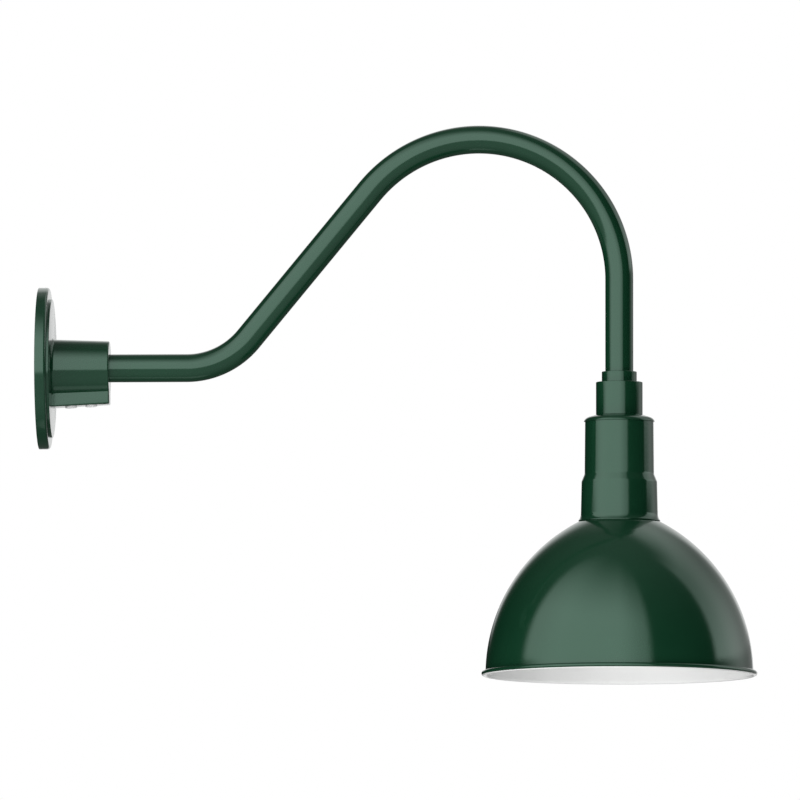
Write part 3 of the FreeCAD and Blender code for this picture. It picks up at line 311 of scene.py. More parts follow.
pen.to(GASKET_DEPTH, GASKET_RADIUS)
pen.to(0, GASKET_RADIUS)
plate = turn_round(pen.close(), WALL_AXIS, (1, 0, 0), steps=192)

# %% [markdown]
# The boss and the pads behind the screw holes start as primitives. The boss is shaped in edit mode,
# and its long edges are bevelled before the join, because a bevel on a joined edge of many short
# pieces is fragile.

# %% Add the boss and the pads
BOSS_WIDTH = 25.0
BOSS_NOSE_DEPTH = 34.2
BOSS_TOP = -16                # inside the hub
BOSS_EDGE = 1.2
DRAFT = math.radians(3.15)
BOSS_ROOT_DEPTH = BOSS_NOSE_DEPTH + (HUB_LENGTH - PLATE_THICKNESS) * math.tan(DRAFT)


def activate(piece):
    """Make one piece the only selected and active one."""
    bpy.ops.object.mode_set(mode="OBJECT")
    bpy.ops.object.select_all(action="DESELECT")
    piece.select_set(True)
    bpy.context.view_layer.objects.active = piece


def block(name, low, high):
    """A box between two corners in millimetres, with its place in its mesh."""
    bpy.ops.object.select_all(action="DESELECT")
    middle = (Vector(low) + Vector(high)) / 2
    bpy.ops.mesh.primitive_cube_add(size=MM, location=middle * MM, scale=Vector(high) - Vector(low))
    bpy.ops.object.transform_apply(location=True, rotation=True, scale=True)
    bpy.context.object.name = name
    return bpy.context.object


def rod(name, radius, start, finish, sides=48):
    """A closed cylinder from one place to another, in millimetres."""
    bpy.ops.object.select_all(action="DESELECT")
    start, finish = Vector(start), Vector(finish)
    along = finish - start
    bpy.ops.mesh.primitive_cylinder_add(
        vertices=sides, radius=radius * MM, depth=along.length * MM,
        location=(start + finish) / 2 * MM, rotation=along.to_track_quat("Z", "Y").to_euler())
    bpy.ops.object.transform_apply(location=True, rotation=True, scale=True)
    bpy.context.object.name = name
    return bpy.context.object


def select_where(piece, kind, chosen):
    """In edit mode, select the vertices, edges or faces that a test picks, by their middle in mm."""
    bpy.ops.object.mode_set(mode="EDIT")
    bpy.ops.mesh.select_mode(type=kind)
    bpy.ops.mesh.select_all(action="DESELECT")
    bpy.ops.object.mode_set(mode="OBJECT")
    mesh = piece.data
    if kind == "VERT":
        for vertex in mesh.vertices:
            vertex.select = bool(chosen(vertex.co / MM))
    elif kind == "EDGE":
        for edge in mesh.edges:
            ends = [mesh.vertices[index].co for index in edge.vertices]
            edge.select = bool(chosen((ends[0] + ends[1]) / 2 / MM, (ends[1] - ends[0]) / MM))
    else:
        for face in mesh.polygons:
            face.select = bool(chosen(face.center / MM, face.normal))
    bpy.ops.object.mode_set(mode="EDIT")


def combine(piece, other, operation="UNION"):
    """Join or cut with a Boolean, and drop the second piece."""
    activate(piece)
    joint = piece.modifiers.new("combine", "BOOLEAN")
    joint.operation = operation
    joint.object = other
    joint.solver = "EXACT"
    bpy.ops.object.modifier_apply(modifier=joint.name)
    bpy.data.objects.remove(other, do_unlink=True)
    return piece


boss = block("boss", (PLATE_THICKNESS, -BOSS_WIDTH / 2, -BOSS_NOSE_DEPTH),
             (HUB_LENGTH, BOSS_WIDTH / 2, BOSS_TOP))
select_where(boss, "VERT", lambda at: at.z < -20 and at.x < 20)
bpy.ops.transform.translate(value=metres(0, 0, BOSS_NOSE_DEPTH - BOSS_ROOT_DEPTH))
select_where(boss, "EDGE", lambda at, run: at.z < -20 and (abs(at.y) > 10 or at.x > 60))
bpy.ops.mesh.bevel(offset=BOSS_EDGE * MM, segments=4)
bpy.ops.object.mode_set(mode="OBJECT")
combine(plate, boss)

MOUNT_HOLE_Y = 88.9 / 2
MOUNT_HOLE_RADIUS = 2.8
MOUNT_PAD_RADIUS = 7.5
PAD_ROOT = FACE_X - CASTING_WALL + 1
GROUND = (26.0, 40.0)
GROUND_PAD_RADIUS = 6.0
GROUND_PAD_FACE = 6.4

for y in (-MOUNT_HOLE_Y, MOUNT_HOLE_Y):
    combine(plate, rod("pad", MOUNT_PAD_RADIUS, (0, y, 0), (PAD_ROOT, y, 0)))
    combine(plate, rod("hole", MOUNT_HOLE_RADIUS, (-5, y, 0), (20, y, 0)), "DIFFERENCE")
combine(plate, rod("pad", GROUND_PAD_RADIUS, (GROUND_PAD_FACE, *GROUND), (PAD_ROOT, *GROUND)))

# %% [markdown]
# The bore of the hub has to be open again after the boss was joined to it, and the two threaded
# holes stand square to the sloping underside.

# %% Bore the hub and the screw holes
SCREW_ALONG = (30.6, 49.8)
HUB_SCREW_RADIUS = 5.55
HOLE_GAP = 0.05               # room round a set screw
bore = rod("bore", BORE, (HUB_STOP + 0.01, 0, 0), (HUB_LENGTH + 5, 0, 0), sides=192)
combine(plate, bore, "DIFFERENCE")
screw_out = Vector((math.sin(DRAFT), 0, -math.cos(DRAFT)))


def screw_seat(along):
    """Where a set screw's axis meets the underside of the boss."""
    return Vector((along, 0, -BOSS_NOSE_DEPTH - (HUB_LENGTH - along) * math.tan(DRAFT)))


for along in SCREW_ALONG:
    seat = screw_seat(along)
    hole = rod("hole", HUB_SCREW_RADIUS + HOLE_GAP, seat - screw_out * 24, seat + screw_out * 9)
    combine(plate, hole, "DIFFERENCE")
settle(plate, 28)
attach(plate, "wall_mount")
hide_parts("wall_plate")

# %% [markdown]
# ## Set screws
# A set screw is a plain rod with a hexagon socket for the key. The body is turned with a
# chamfered edge. The socket is a six-sided rod taken away from it, which leaves the crisp flats
# of a real one.

# %% Make the set screws
SCREW_CHAMFER = 0.6
SOCKET_DEPTH = 3.5


def set_screw(name, radius, seat, out, stand, length, key):
    """A set screw whose flat end stands a little out of its seat. key is the width over the flats."""
    pen = Pen(name, 0, -length, WALL_AXIS)
    pen.to(radius - SCREW_CHAMFER, -length)
    pen.to(radius, -length + SCREW_CHAMFER)
    pen.to(radius, stand, 0.5)
    pen.to(0, stand)
    screw = turn_round(pen.close(), WALL_AXIS, steps=64)
    corner_radius = key / 2 / math.cos(math.pi / 6)
    socket = rod("key", corner_radius, (0, 0, stand - SOCKET_DEPTH), (0, 0, stand + 2), sides=6)
    combine(screw, socket, "DIFFERENCE")
    screw.rotation_euler = Vector(out).to_track_quat("Z", "Y").to_euler()
    screw.location = seat * MM
    activate(screw)
    bpy.ops.object.transform_apply(location=True, rotation=True, scale=True)
    return settle(screw)


for word, along in zip(("inner", "outer"), SCREW_ALONG):
    seat = screw_seat(along)
    depth = (-seat.z - PIPE_RADIUS) / math.cos(DRAFT) - 0.3
    screw = set_screw("hub_screw_" + word + "_shaped", HUB_SCREW_RADIUS, seat, screw_out,
                      stand=1.5, length=depth, key=5.5)
    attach(screw, "hub_screw_" + word)
    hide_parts("hub_set_screw_" + word)

# %% [markdown]
# ## The collar
# The collar is turned bar: a ring that the pipe enters, and a thicker body below it. Its top
# edges are almost sharp, which in the light gives one thin bright line.

# %% Turn the collar
RING_RADIUS = 33.3 / 2
COLLAR_RADIUS = 22.2
NIPPLE_RADIUS = 8.55
COLLAR_STOP = -37.8
COLLAR_SCREW_Z = -25.0
COLLAR_SCREW_RADIUS = 3.175

pen = Pen("collar_turned", BORE, COLLAR_TOP)
pen.to(RING_RADIUS, COLLAR_TOP, 0.6)
pen.to(RING_RADIUS, RING_BOTTOM, 0.3)
pen.to(COLLAR_RADIUS, RING_BOTTOM, 0.6)
pen.to(COLLAR_RADIUS, CAP_TOP, 0.25)
pen.to(NIPPLE_RADIUS, CAP_TOP)
pen.to(NIPPLE_RADIUS, COLLAR_STOP)
pen.to(BORE, COLLAR_STOP)
pen.to(BORE, COLLAR_TOP, 0.3)
collar = turn_round(pen.close())
hole = rod("hole", COLLAR_SCREW_RADIUS + HOLE_GAP, (REACH, PIPE_RADIUS - 4, COLLAR_SCREW_Z),
           (REACH, COLLAR_RADIUS + 4, COLLAR_SCREW_Z))
combine(collar, hole, "DIFFERENCE")
settle(collar)
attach(collar, "shade_head")
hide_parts("arm_collar")

screw = set_screw("collar_screw_shaped", COLLAR_SCREW_RADIUS,
                  Vector((REACH, COLLAR_RADIUS, COLLAR_SCREW_Z)), (0, 1, 0),
                  stand=0.6, length=COLLAR_RADIUS - PIPE_RADIUS - 0.1, key=3.2)
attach(screw, "collar_screw")
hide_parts("collar_set_screw")

# %% [markdown]
# ## The neck
# The neck is two spun pieces. The cap has a rounded shoulder and overlaps the cup, which leaves a
# small shadow line between them. The cup runs straight, steps out over a short cone and flares at
# the foot. Both are thin, so their sections go down the outside and come back up the inside.

# %% Turn the cap and the cup
CAP_WALL = 1.0
CAP_FLAT = 22.8
CAP_RADIUS = 33.8
CAP_LIP = -52.6
SHOULDER = 6.4
SHOULDER_END = math.radians(18)       # the rounded shoulder stops short of vertical at the lip
SHOULDER_START = math.radians(72.5)
shoulder_x = CAP_RADIUS - SHOULDER * math.cos(SHOULDER_END)
shoulder_z = CAP_LIP - SHOULDER * math.sin(SHOULDER_END)
shoulder_turn = math.degrees(SHOULDER_START - SHOULDER_END)


def on_shoulder(radius, angle):
    """A place on the cap's rounded shoulder, on the outer or the inner side of the sheet."""
    return shoulder_x + radius * math.cos(angle), shoulder_z + radius * math.sin(angle)


pen = Pen("neck_cap_spun", NIPPLE_RADIUS, CAP_TOP)
pen.to(CAP_FLAT, CAP_TOP)
pen.to(*on_shoulder(SHOULDER, SHOULDER_START))
pen.swing(shoulder_x, shoulder_z, -shoulder_turn, steps=12)
pen.to(*on_shoulder(SHOULDER - CAP_WALL, SHOULDER_END), 0.2)
pen.swing(shoulder_x, shoulder_z, shoulder_turn, steps=10)
pen.to(CAP_FLAT, CAP_TOP - CAP_WALL)
pen.to(NIPPLE_RADIUS, CAP_TOP - CAP_WALL)
pen.to(NIPPLE_RADIUS, CAP_TOP)
cap = turn_round(pen.close())

CUP_WALL = 1.0
CUP_TOP_RADIUS = 32.55
CUP_MOUTH = CUP_TOP_RADIUS - 5.5      # the hole that the nipple passes through
cup_top = shoulder_z + math.sqrt((SHOULDER - CAP_WALL) ** 2 - (CUP_TOP_RADIUS - shoulder_x) ** 2)
STEP_TOP, STEP_BOTTOM, FLARE_TOP = -102.5, -109.7, -140.3
WAIST, STEP_OUT, LOWER, FLARE = 33.0, 35.9, 36.6, 38.9
LIP_BOTTOM = CUP_BOTTOM - 0.85
flare_bend = ((FLARE - LOWER) ** 2 + (FLARE_TOP - CUP_BOTTOM) ** 2) / (2 * (FLARE - LOWER))
flare_turn = math.degrees(math.asin((FLARE_TOP - CUP_BOTTOM) / flare_bend))

pen = Pen("neck_cup_spun", CUP_MOUTH, cup_top)
pen.to(CUP_TOP_RADIUS, cup_top, 0.6)
pen.to(WAIST, STEP_TOP, 5.0)
pen.to(STEP_OUT, STEP_BOTTOM, 5.0)
pen.to(LOWER, FLARE_TOP)
pen.swing(LOWER + flare_bend, FLARE_TOP, flare_turn, steps=10)
pen.to(FLARE, LIP_BOTTOM, 0.15)
pen.to(FLARE - 0.85, LIP_BOTTOM + 0.4, 0.15)
pen.to(LOWER - CUP_WALL, FLARE_TOP, 6.0)
pen.to(STEP_OUT - CUP_WALL, STEP_BOTTOM, 4.0)
pen.to(WAIST - CUP_WALL, STEP_TOP, 5.0)
pen.to(CUP_TOP_RADIUS - CUP_WALL, cup_top - CUP_WALL, 0.3)
pen.to(CUP_MOUTH, cup_top - CUP_WALL)
pen.to(CUP_MOUTH, cup_top)
cup = turn_round(pen.close())
for piece, node in ((cap, "neck_cap"), (cup, "neck_cup")):
    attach(piece, "shade_head")
    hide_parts(node)

# %% [markdown]
# ## The shade
# The shade is spun from one disc. Its whole side is one arc, and the edge is curled outwards into
# a hollow bead that stiffens the rim. The section is drawn from the screwed flange inside the
# neck, down the outside, round the bead and back up the inside. Outside it is green and inside
# white, and the two coats meet under the bead, so its faces get two material slots by the side of
# the sheet they are on.

# %% Spin the shade
ARC_X, ARC_Z, ARC_RADIUS = -36.4, -293.55, 163.8
SHEET = 1.1
RIM_RISE = 1.0
BEAD = 2.45
CURL = math.radians(115)
FLANGE_BORE = 24.0
FLANGE_TOP = -110.71
UPSTAND = 34.6


def on_arc(radius, across):
    """The height of the shade's arc at a distance from its axis."""
    return ARC_Z + math.sqrt(radius ** 2 - (across - ARC_X) ** 2)


def arc_angle(across, up):
    return math.degrees(math.atan2(up - ARC_Z, across - ARC_X))


inner_arc = ARC_RADIUS - SHEET
bead_z = ARC_Z + RIM_RISE
rim_outer = ARC_X + math.sqrt(ARC_RADIUS ** 2 - RIM_RISE ** 2)
rim_inner = ARC_X + math.sqrt(inner_arc ** 2 - RIM_RISE ** 2)
bead_x = rim_inner + BEAD
crown = on_arc(ARC_RADIUS, UPSTAND)
inner_crown = on_arc(inner_arc, UPSTAND - SHEET)
outer_turn = arc_angle(rim_outer, bead_z) - arc_angle(UPSTAND, crown)
inner_turn = arc_angle(UPSTAND - SHEET, inner_crown) - arc_angle(rim_inner, bead_z)

pen = Pen("shade_spun", FLANGE_BORE, FLANGE_TOP)
pen.to(UPSTAND, FLANGE_TOP, 1.2)
pen.to(UPSTAND, crown)
pen.swing(ARC_X, ARC_Z, outer_turn, steps=64)
pen.swing(bead_x, bead_z, 180 + math.degrees(CURL), steps=30)
pen.to(bead_x + BEAD * math.cos(CURL), bead_z + BEAD * math.sin(CURL))
pen.swing(bead_x, bead_z, -180 - math.degrees(CURL), steps=36)
pen.swing(ARC_X, ARC_Z, inner_turn, steps=64)
pen.to(UPSTAND - SHEET, FLANGE_TOP - SHEET, 0.5)
pen.to(FLANGE_BORE, FLANGE_TOP - SHEET)
pen.to(FLANGE_BORE, FLANGE_TOP)
shade = turn_round(pen.close(), steps=224)

SHADE_SCREW_CIRCLE = 29.2
SHADE_HOLE_RADIUS = 2.1
for turn in range(3):
    angle = math.radians(90 + 120 * turn)
    x, y = REACH + SHADE_SCREW_CIRCLE * math.cos(angle), SHADE_SCREW_CIRCLE * math.sin(angle)
    hole = rod("hole", SHADE_HOLE_RADIUS, (x, y, FLANGE_TOP - 4), (x, y, FLANGE_TOP + 4), sides=32)
    combine(shade, hole, "DIFFERENCE")
settle(shade)
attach(shade, "shade_head")
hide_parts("shade")

# %% [markdown]
# ## Shader maths in plain Python
# A node tree is slow to read and to write by hand. The small class below stands for one socket,
# and its operators add Math nodes, so a formula in Python becomes the same formula in the shader.
# Any other node comes from one method, which takes the node's type, its settings and the values
# or links of its inputs.

# %% Wrap a socket
class Value:
    """A shader socket that can be used in arithmetic."""

    def __init__(self, tree, socket):
        self.tree = tree
        self.socket = socket

    def _math(self, operation, first, second=None, third=None):
        given = {index: part for index, part in enumerate((first, second, third)) if part is not None}
        return self.tree.add("ShaderNodeMath", {"operation": operation}, given)

    def __add__(self, other): return self._math("ADD", self, other)
    def __radd__(self, other): return self._math("ADD", other, self)
    def __sub__(self, other): return self._math("SUBTRACT", self, other)
    def __rsub__(self, other): return self._math("SUBTRACT", other, self)
    def __mul__(self, other): return self._math("MULTIPLY", self, other)
    def __rmul__(self, other): return self._math("MULTIPLY", other, self)
    def __truediv__(self, other): return self._math("DIVIDE", self, other)
    def __rtruediv__(self, other): return self._math("DIVIDE", other, self)
    def __neg__(self): return self._math("MULTIPLY", self, -1.0)
    def root(self): return self._math("SQRT", self)
    def largest(self, other): return self._math("MAXIMUM", self, other)
    def smallest(self, other): return self._math("MINIMUM", self, other)
    def bearing(self, other): return self._math("ARCTAN2", self, other)

    def step_up(self, start, end):
        """0 below start, 1 above end, and smooth between."""
        return self.tree.add("ShaderNodeMapRange", {"interpolation_type": "SMOOTHSTEP"},
                             {"Value": self, "From Min": start, "From Max": end})


class Tree:
    """A node tree that is filled by one method."""

    def __init__(self, owner):
        owner.use_nodes = True
        self.nodes = owner.node_tree.nodes
        self.links = owner.node_tree.links
        self.nodes.clear()

    def add(self, kind, settings=None, inputs=None, output=0):
        """Add a node with its settings, fill or link its inputs, and give one output as a Value."""
        node = self.nodes.new(kind)
        for name, setting in (settings or {}).items():
            setattr(node, name, setting)
        for name, given in (inputs or {}).items():
            if isinstance(given, Value):
                self.links.new(given.socket, node.inputs[name])
            else:
                node.inputs[name].default_value = given
        return Value(self, node.outputs[output]) if len(node.outputs) else node

    def mix(self, factor, first, second):
        """A colour between two colours."""
        return self.add("ShaderNodeMix", {"data_type": "RGBA"}, {0: factor, 6: first, 7: second}, 2)

    def noise(self, where, per_metre, detail=3.0, roughness=0.55):
        return self.add("ShaderNodeTexNoise", {}, {
            "Vector": where, "Scale": per_metre, "Detail": detail, "Roughness": roughness})

    def place(self):
        """Object coordinates, in metres from the frame's origin."""
        return self.add("ShaderNodeTexCoord", {}, {}, 3)

    def surface(self, shader):
        self.add("ShaderNodeOutputMaterial", {}, {"Surface": shader})


def new_finish(name):
    """An empty material and its tree."""
    material = bpy.data.materials.new(name)
    return material, Tree(material)


print("shader helpers ready")

# %% [markdown]
# ## Powder coat
# Powder coat is sprayed on as dust and melted. It flows almost flat, but keeps a shallow ripple,
# called orange peel, a few millimetres across. The colour is nearly even. So the colour varies by
# a few percent only, the roughness by a little more, and a low bump at the size of the ripple
# breaks up the highlights.

# %% Green and white powder coat
GREEN = (0.0051, 0.0315, 0.0147, 1)
GREEN_DEEP = (0.0043, 0.0277, 0.0127, 1)
GREEN_SHEEN = (0.68, 1.0, 0.845, 1)
WHITE = (0.85, 0.855, 0.85, 1)
WHITE_DULL = (0.81, 0.815, 0.81, 1)
NO_TINT = (1, 1, 1, 1)
CLOUDS, RIPPLES, SPECKS = 14, 260, 900      # how many of each to a metre, about
PEEL_HEIGHT = 0.0004                        # in metres


def powder_coat(name, pale, deep, gloss, peel, sheen, shine):
    """A smooth coat between two close colours, with orange peel."""
    material, tree = new_finish(name)
    place = tree.place()
    cloud = tree.noise(place, CLOUDS, 4)
    fine = tree.noise(place, SPECKS, 2)
    ripple = tree.noise(place, RIPPLES, 2)
    colour = tree.mix((cloud * 0.75 + fine * 0.25).step_up(0.35, 0.65), deep, pale)
    bump = tree.add("ShaderNodeBump", {}, {
        "Strength": peel, "Distance": PEEL_HEIGHT, "Height": ripple + fine * 0.2})
    coat = tree.add("ShaderNodeBsdfPrincipled", {}, {
        "Base Color": colour, "Roughness": gloss + (cloud - 0.5) * 0.06 + (fine - 0.5) * 0.04,
        "IOR": 1.5, "Specular IOR Level": shine, "Specular Tint": sheen, "Normal": bump})
    tree.surface(coat)
    return material


green_coat = powder_coat("green_powder_coat", GREEN, GREEN_DEEP, 0.12, 0.05, GREEN_SHEEN, 0.7)
white_coat = powder_coat("white_powder_coat", WHITE, WHITE_DULL, 0.2, 0.05, NO_TINT, 0.5)

# %% [markdown]
# The shade gets both coats. The white slot goes to the faces on the inner side of the sheet and
# on the underside of the bead, up to the line where the two coats meet.

# %% Coat the green pieces and the shade
for piece in (arm, plate, collar, cap, cup, shade):
    piece.data.materials.clear()
    piece.data.materials.append(green_coat)
shade.data.materials.append(white_coat)

COAT_LINE = math.radians(-38)
middle_arc = ARC_RADIUS - SHEET / 2


def is_inside(at, normal):
    """Whether a face of the shade has the white coat."""
    radius = math.hypot(at.x - REACH, at.y)
    if at.z > inner_crown:
        return False
    around_bead = math.atan2(at.z - bead_z, radius - bead_x)
    on_bead = math.hypot(radius - bead_x, at.z - bead_z) < BEAD * 1.02 and at.z < bead_z + 0.02
    if on_bead:
        return around_bead < COAT_LINE and math.hypot(radius - bead_x, at.z - bead_z) > BEAD * 0.85
    return math.hypot(radius - ARC_X, at.z - ARC_Z) < middle_arc and radius < bead_x


select_where(shade, "FACE", is_inside)
shade.active_material_index = 1
bpy.ops.object.material_slot_assign()
bpy.ops.object.mode_set(mode="OBJECT")
white_share = sum(face.material_index == 1 for face in shade.data.polygons) / len(shade.data.polygons)
print("white faces on the shade: %.0f%%" % (100 * white_share))

# %% [markdown]
# ## Metals, porcelain, rubber and insulation
# Inside the shade the porcelain socket and its brass shell show from below, and the set screws,
# the gasket and the leads show from behind. Each gets the small variation that its real material
# has: a drawn streak on plated steel, a dull bloom on brass, a thin glaze over porcelain, pores
# in the foam.

# %% Finishes of the small pieces
def plated(name, pale, deep, roughness, streak=600):
    """Plated or plain metal with fine turning marks and a slow change of brightness."""
    material, tree = new_finish(name)
    place = tree.place()
    cloud = tree.noise(place, 90, 3)
    fine = tree.noise(place, streak, 4)
    tone = (cloud * 0.6 + fine * 0.4).step_up(0.3, 0.7)
    bump = tree.add("ShaderNodeBump", {}, {"Strength": 0.08, "Distance": 0.0001, "Height": fine})
    tree.surface(tree.add("ShaderNodeBsdfPrincipled", {}, {
        "Base Color": tree.mix(tone, deep, pale), "Metallic": 1.0, "Normal": bump,
        "Roughness": roughness + (fine - 0.5) * 0.15}))
    return material


def dull(name, pale, deep, roughness, grain, relief=0.2, ior=1.45):
    """Rubber, plastic, fibreglass or porcelain, with a grain that changes colour and stands proud."""
    material, tree = new_finish(name)
    place = tree.place()
    fine = tree.noise(place, grain, 4)
    cloud = tree.noise(place, grain / 12, 2)
    bump = tree.add("ShaderNodeBump", {}, {"Strength": relief, "Distance": 0.0002, "Height": fine})
    tree.surface(tree.add("ShaderNodeBsdfPrincipled", {}, {
        "Base Color": tree.mix((cloud * 0.5 + fine * 0.5).step_up(0.3, 0.7), deep, pale),
        "IOR": ior, "Normal": bump, "Roughness": roughness + (cloud - 0.5) * 0.08}))
    return material


finishes = {
    "zinc_steel": plated("zinc_plate", (0.66, 0.66, 0.64, 1), (0.52, 0.52, 0.51, 1), 0.32),
    "nickel": plated("nickel_plate", (0.46, 0.46, 0.44, 1), (0.36, 0.36, 0.34, 1), 0.24),
    "black_oxide": plated("black_oxide_steel", (0.05, 0.05, 0.05, 1), (0.02, 0.02, 0.02, 1), 0.4),
    "shell_brass": plated("stamped_brass", (0.78, 0.57, 0.25, 1), (0.6, 0.42, 0.17, 1), 0.3),
    "ground_green": plated("green_dyed_zinc", (0.08, 0.38, 0.14, 1), (0.04, 0.26, 0.09, 1), 0.34),
    "porcelain": dull("glazed_porcelain", (0.84, 0.84, 0.8, 1), (0.79, 0.79, 0.75, 1),
                      roughness=0.12, grain=500, relief=0.03, ior=1.52),
    "seal_rubber": dull("foam_rubber", (0.035, 0.035, 0.035, 1), (0.015, 0.015, 0.015, 1),
                        roughness=0.85, grain=1500, relief=0.7),
    "bushing_plastic": dull("moulded_plastic", (0.045, 0.045, 0.045, 1), (0.03, 0.03, 0.03, 1),
                            roughness=0.45, grain=1200),
    "black_insulation": dull("black_sleeve", (0.03, 0.03, 0.03, 1), (0.014, 0.014, 0.014, 1),
                             roughness=0.6, grain=2200, relief=0.4),
    "white_insulation": dull("white_sleeve", (0.78, 0.77, 0.73, 1), (0.66, 0.65, 0.6, 1),
                             roughness=0.6, grain=2200, relief=0.4),
    "green_insulation": dull("green_sleeve", (0.04, 0.27, 0.09, 1), (0.02, 0.18, 0.06, 1),
                             roughness=0.5, grain=2200, relief=0.3),
    "green_finish": green_coat,
    "shade_finish": green_coat,
}

slot_of = {part["node"]: part["material_slot"] for part in frame["record"]["subparts"]}
for name, node in frame["nodes"].items():
    for slot in node.material_slots:
        slot.material = finishes[slot_of[name]]
for piece, slot in ((piece, piece["slot"]) for piece in bpy.data.objects if "slot" in piece):
    if slot in finishes and piece not in (arm, plate, collar, cap, cup, shade):
        piece.data.materials.clear()
        piece.data.materials.append(finishes[slot])
print("finishes on", len(slot_of), "nodes")

# %% [markdown]
# ## Studio
# The light hangs in front of plain white. One broad soft box stands at the camera's left and
# reaches past the camera, a narrower panel stands far to the right, and the rest of the room is
# dim. In a glossy coat that order of bright and dark is what one sees: a broad pale band with a
# crisp lower edge, a dark band beside it and a paler one at the right. The room is painted on the
# world by direction, so the same room lights the object from wherever it is seen. A panel near a
# wall has a soft foot, so both are softer low down than higher up. The camera sees plain white in
# place of the room, and so would anything seen through glass. A reflection shows that white where
# the backdrop is, behind the object. Directions are in degrees: side is 0 towards the camera, 90
# at its right and -90 at its left, and height is above the horizon.

# %% Paint the room
SOFT_BOX = 2.18
SOFT_BOX_LEFT = 0.3           # how much it falls off towards each side
SOFT_BOX_RIGHT = 0.4
SIDE_PANEL = 1.65
SIDE_PANEL_FOOT = 0.63
SIDE_PANEL_BACK = 0.68        # how much it falls off towards the back
UPPER_PANEL = 0.75
BACK_LEFT = 0.3
CEILING = 0.2
FLOOR_AHEAD = 0.5
FLOOR_BEHIND = 0.1

world = bpy.data.worlds.new("studio")
bpy.context.scene.world = world
tree = Tree(world)
towards = tree.add("ShaderNodeTexCoord", {}, {}, 0)
parts = tree.add("ShaderNodeSeparateXYZ", {}, {0: towards})
x, y, z = (Value(tree, parts.socket.node.outputs[index]) for index in range(3))
side = x.bearing(-y) * (180 / math.pi)
height = z.bearing((x * x + y * y).root()) * (180 / math.pi)
above = height.step_up(-12, -7)
raised = height.step_up(6, 9.5)
sideways = (side + 35).largest(-35 - side)        # from the middle of the soft box


def between(value, low, high, rise, fall):
    """1 inside a range of directions, with a soft edge of its own width at each end."""
    return value.step_up(low, low + rise) * (1 - value.step_up(high - fall, high))


def by_height(low, high):
    """One value near the horizon and another higher up."""
    return low + (high - low) * raised


soft_box = by_height(side.step_up(-96, -64), side.step_up(-94, -84)) * (1 - side.step_up(26, 34)) \
    * (1 - (1 - side.step_up(-95, -50)) * SOFT_BOX_LEFT) \
    * (1 - side.step_up(0, 30) * SOFT_BOX_RIGHT) \
    * (1 - (height + (sideways - 35).largest(0.0) * 0.3).step_up(33, 86)) * SOFT_BOX
panel = by_height(side.step_up(88, 140) * SIDE_PANEL_FOOT, side.step_up(92, 99)) \
    * (1 - side.step_up(114, 152) * SIDE_PANEL_BACK) * (1 - height.step_up(2, 50) * 0.55) \
    * (1 - height.step_up(50, 72)) * SIDE_PANEL
upper_panel = side.step_up(105, 155) * (1 - side.step_up(162, 173)) \
    * between(height, 28, 76, 30, 12) * UPPER_PANEL
back_left = (1 - side.step_up(-175, -140)) * between(height, 0, 70, 30, 20) * BACK_LEFT
backdrop = by_height(side.step_up(167, 175) + 1 - side.step_up(-179, -172),
                     side.step_up(158, 174) + 1 - side.step_up(-174, -152)) * above \
    * (1 - height.step_up(28, 48))
overhead = height.step_up(14, 95) * CEILING
below = (1 - above) * (FLOOR_BEHIND + (-y).step_up(-0.5, 0.8) * (FLOOR_AHEAD - FLOOR_BEHIND))
room = (soft_box + panel + upper_panel + back_left) * above + backdrop + overhead + below

# %% [markdown]
# Light Path says what kind of ray asks for the world's colour.

# %% Put plain white behind the object
path = tree.add("ShaderNodeLightPath", {}, {}, 0).socket.node.outputs
to_camera, in_gloss, through_glass = (Value(tree, path[name]) for name in
                                      ("Is Camera Ray", "Is Glossy Ray", "Is Transmission Ray"))
white = (to_camera + through_glass + in_gloss * backdrop).smallest(1.0)
background = tree.add("ShaderNodeBackground", {}, {"Color": (1, 1, 1, 1),
                                                   "Strength": room * (1 - white) + white})
tree.add("ShaderNodeOutputWorld", {}, {"Surface": background})
print("room painted with", len(tree.nodes), "nodes")

# %% [markdown]
# The inside of the shade faces down, where the room is dim. A photographer would slide a white
# reflector under it, and a large lamp does the same here. It is hidden from reflections, so that
# it lights the white coat softly and leaves no patch in the gloss of the green one.

# %% Hang the fill light
FILL_POWER = 14.0
FILL_SIZE = 1.2
FILL_PLACE = (0.25, -1.0, -1.2)
FILL_AIM = metres(REACH, 0, -260)
bpy.ops.object.select_all(action="DESELECT")
bpy.ops.object.light_add(type="AREA", location=FILL_PLACE)
fill = bpy.context.object
fill.name = "reflector"
fill.data.shape = "DISK"
fill.data.size = FILL_SIZE
fill.data.energy = FILL_POWER
fill.rotation_euler = (fill.location - FILL_AIM).to_track_quat("Z", "Y").to_euler()
fill.visible_camera = False
fill.visible_glossy = False

# %% [markdown]
# The floor is a pale disc as far below as under a light on a wall. It takes a soft shadow from
# above. Seen from below it is clear, so that it never hides the object, and its edge fades out.

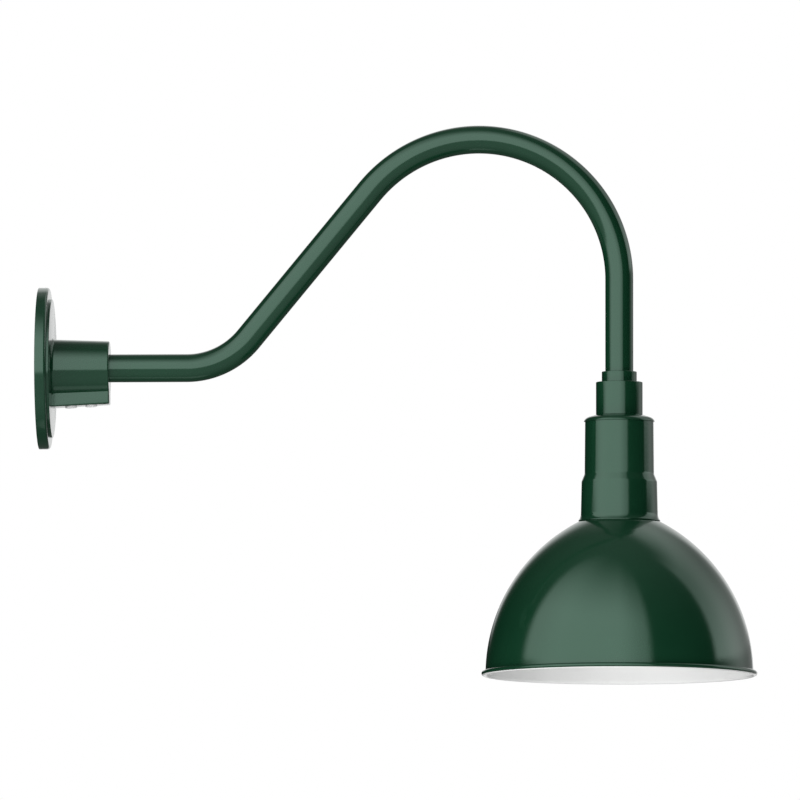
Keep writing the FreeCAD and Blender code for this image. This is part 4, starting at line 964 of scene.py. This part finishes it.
# %% Lay the floor
FLOOR_RADIUS = 0.75
FLOOR_FADE = 0.55             # the share of the radius where the disc begins to fade
FLOOR_X, FLOOR_Z = 0.3, -3.5
bpy.ops.object.select_all(action="DESELECT")
bpy.ops.mesh.primitive_circle_add(vertices=96, radius=FLOOR_RADIUS, fill_type="NGON",
                                  location=(FLOOR_X, 0, FLOOR_Z))
bpy.ops.object.transform_apply(location=True, rotation=True, scale=True)
floor = bpy.context.object
floor.name = "studio_floor"
floor_finish, tree = new_finish("pale_floor")
pale = tree.add("ShaderNodeBsdfDiffuse", {}, {"Color": (0.85, 0.85, 0.85, 1)})
clear = tree.add("ShaderNodeBsdfTransparent", {}, {})
parts = tree.add("ShaderNodeSeparateXYZ", {}, {0: tree.place()})
x, y = (Value(tree, parts.socket.node.outputs[index]) for index in range(2))
from_middle = ((x - FLOOR_X) * (x - FLOOR_X) + y * y).root()
underneath = tree.add("ShaderNodeNewGeometry", {}, {}, 6)
hidden = underneath.largest(from_middle.step_up(FLOOR_RADIUS * FLOOR_FADE, FLOOR_RADIUS))
tree.surface(tree.add("ShaderNodeMixShader", {}, {0: hidden, 1: pale, 2: clear}))
floor.data.materials.append(floor_finish)

# %% [markdown]
# ## Camera
# The photograph is taken from far away with a long lens, a little below the light and a little to
# its right, so that the underside of the rim and the screws under the hub just show. The lens is
# chosen so that the frame is as wide at the object as the photograph.

# %% Set the camera
FRAME_WIDTH = 0.7612
DISTANCE = 32.0
AZIMUTH = math.radians(2.98)
ELEVATION = math.radians(-4.12)
AIM = Vector((0.3441, 0.0, -0.0312))

lens = bpy.data.cameras.new("long_lens")
lens.sensor_width = 36
lens.lens = lens.sensor_width * DISTANCE / FRAME_WIDTH
lens.clip_end = 2 * DISTANCE
camera = bpy.data.objects.new("camera", lens)
bpy.context.scene.collection.objects.link(camera)
back = Vector((math.sin(AZIMUTH) * math.cos(ELEVATION), -math.cos(AZIMUTH) * math.cos(ELEVATION),
               math.sin(ELEVATION)))
camera.location = AIM + back * DISTANCE
camera.rotation_euler = back.to_track_quat("Z", "Y").to_euler()
bpy.context.scene.camera = camera
bpy.context.scene.view_settings.view_transform = "Standard"
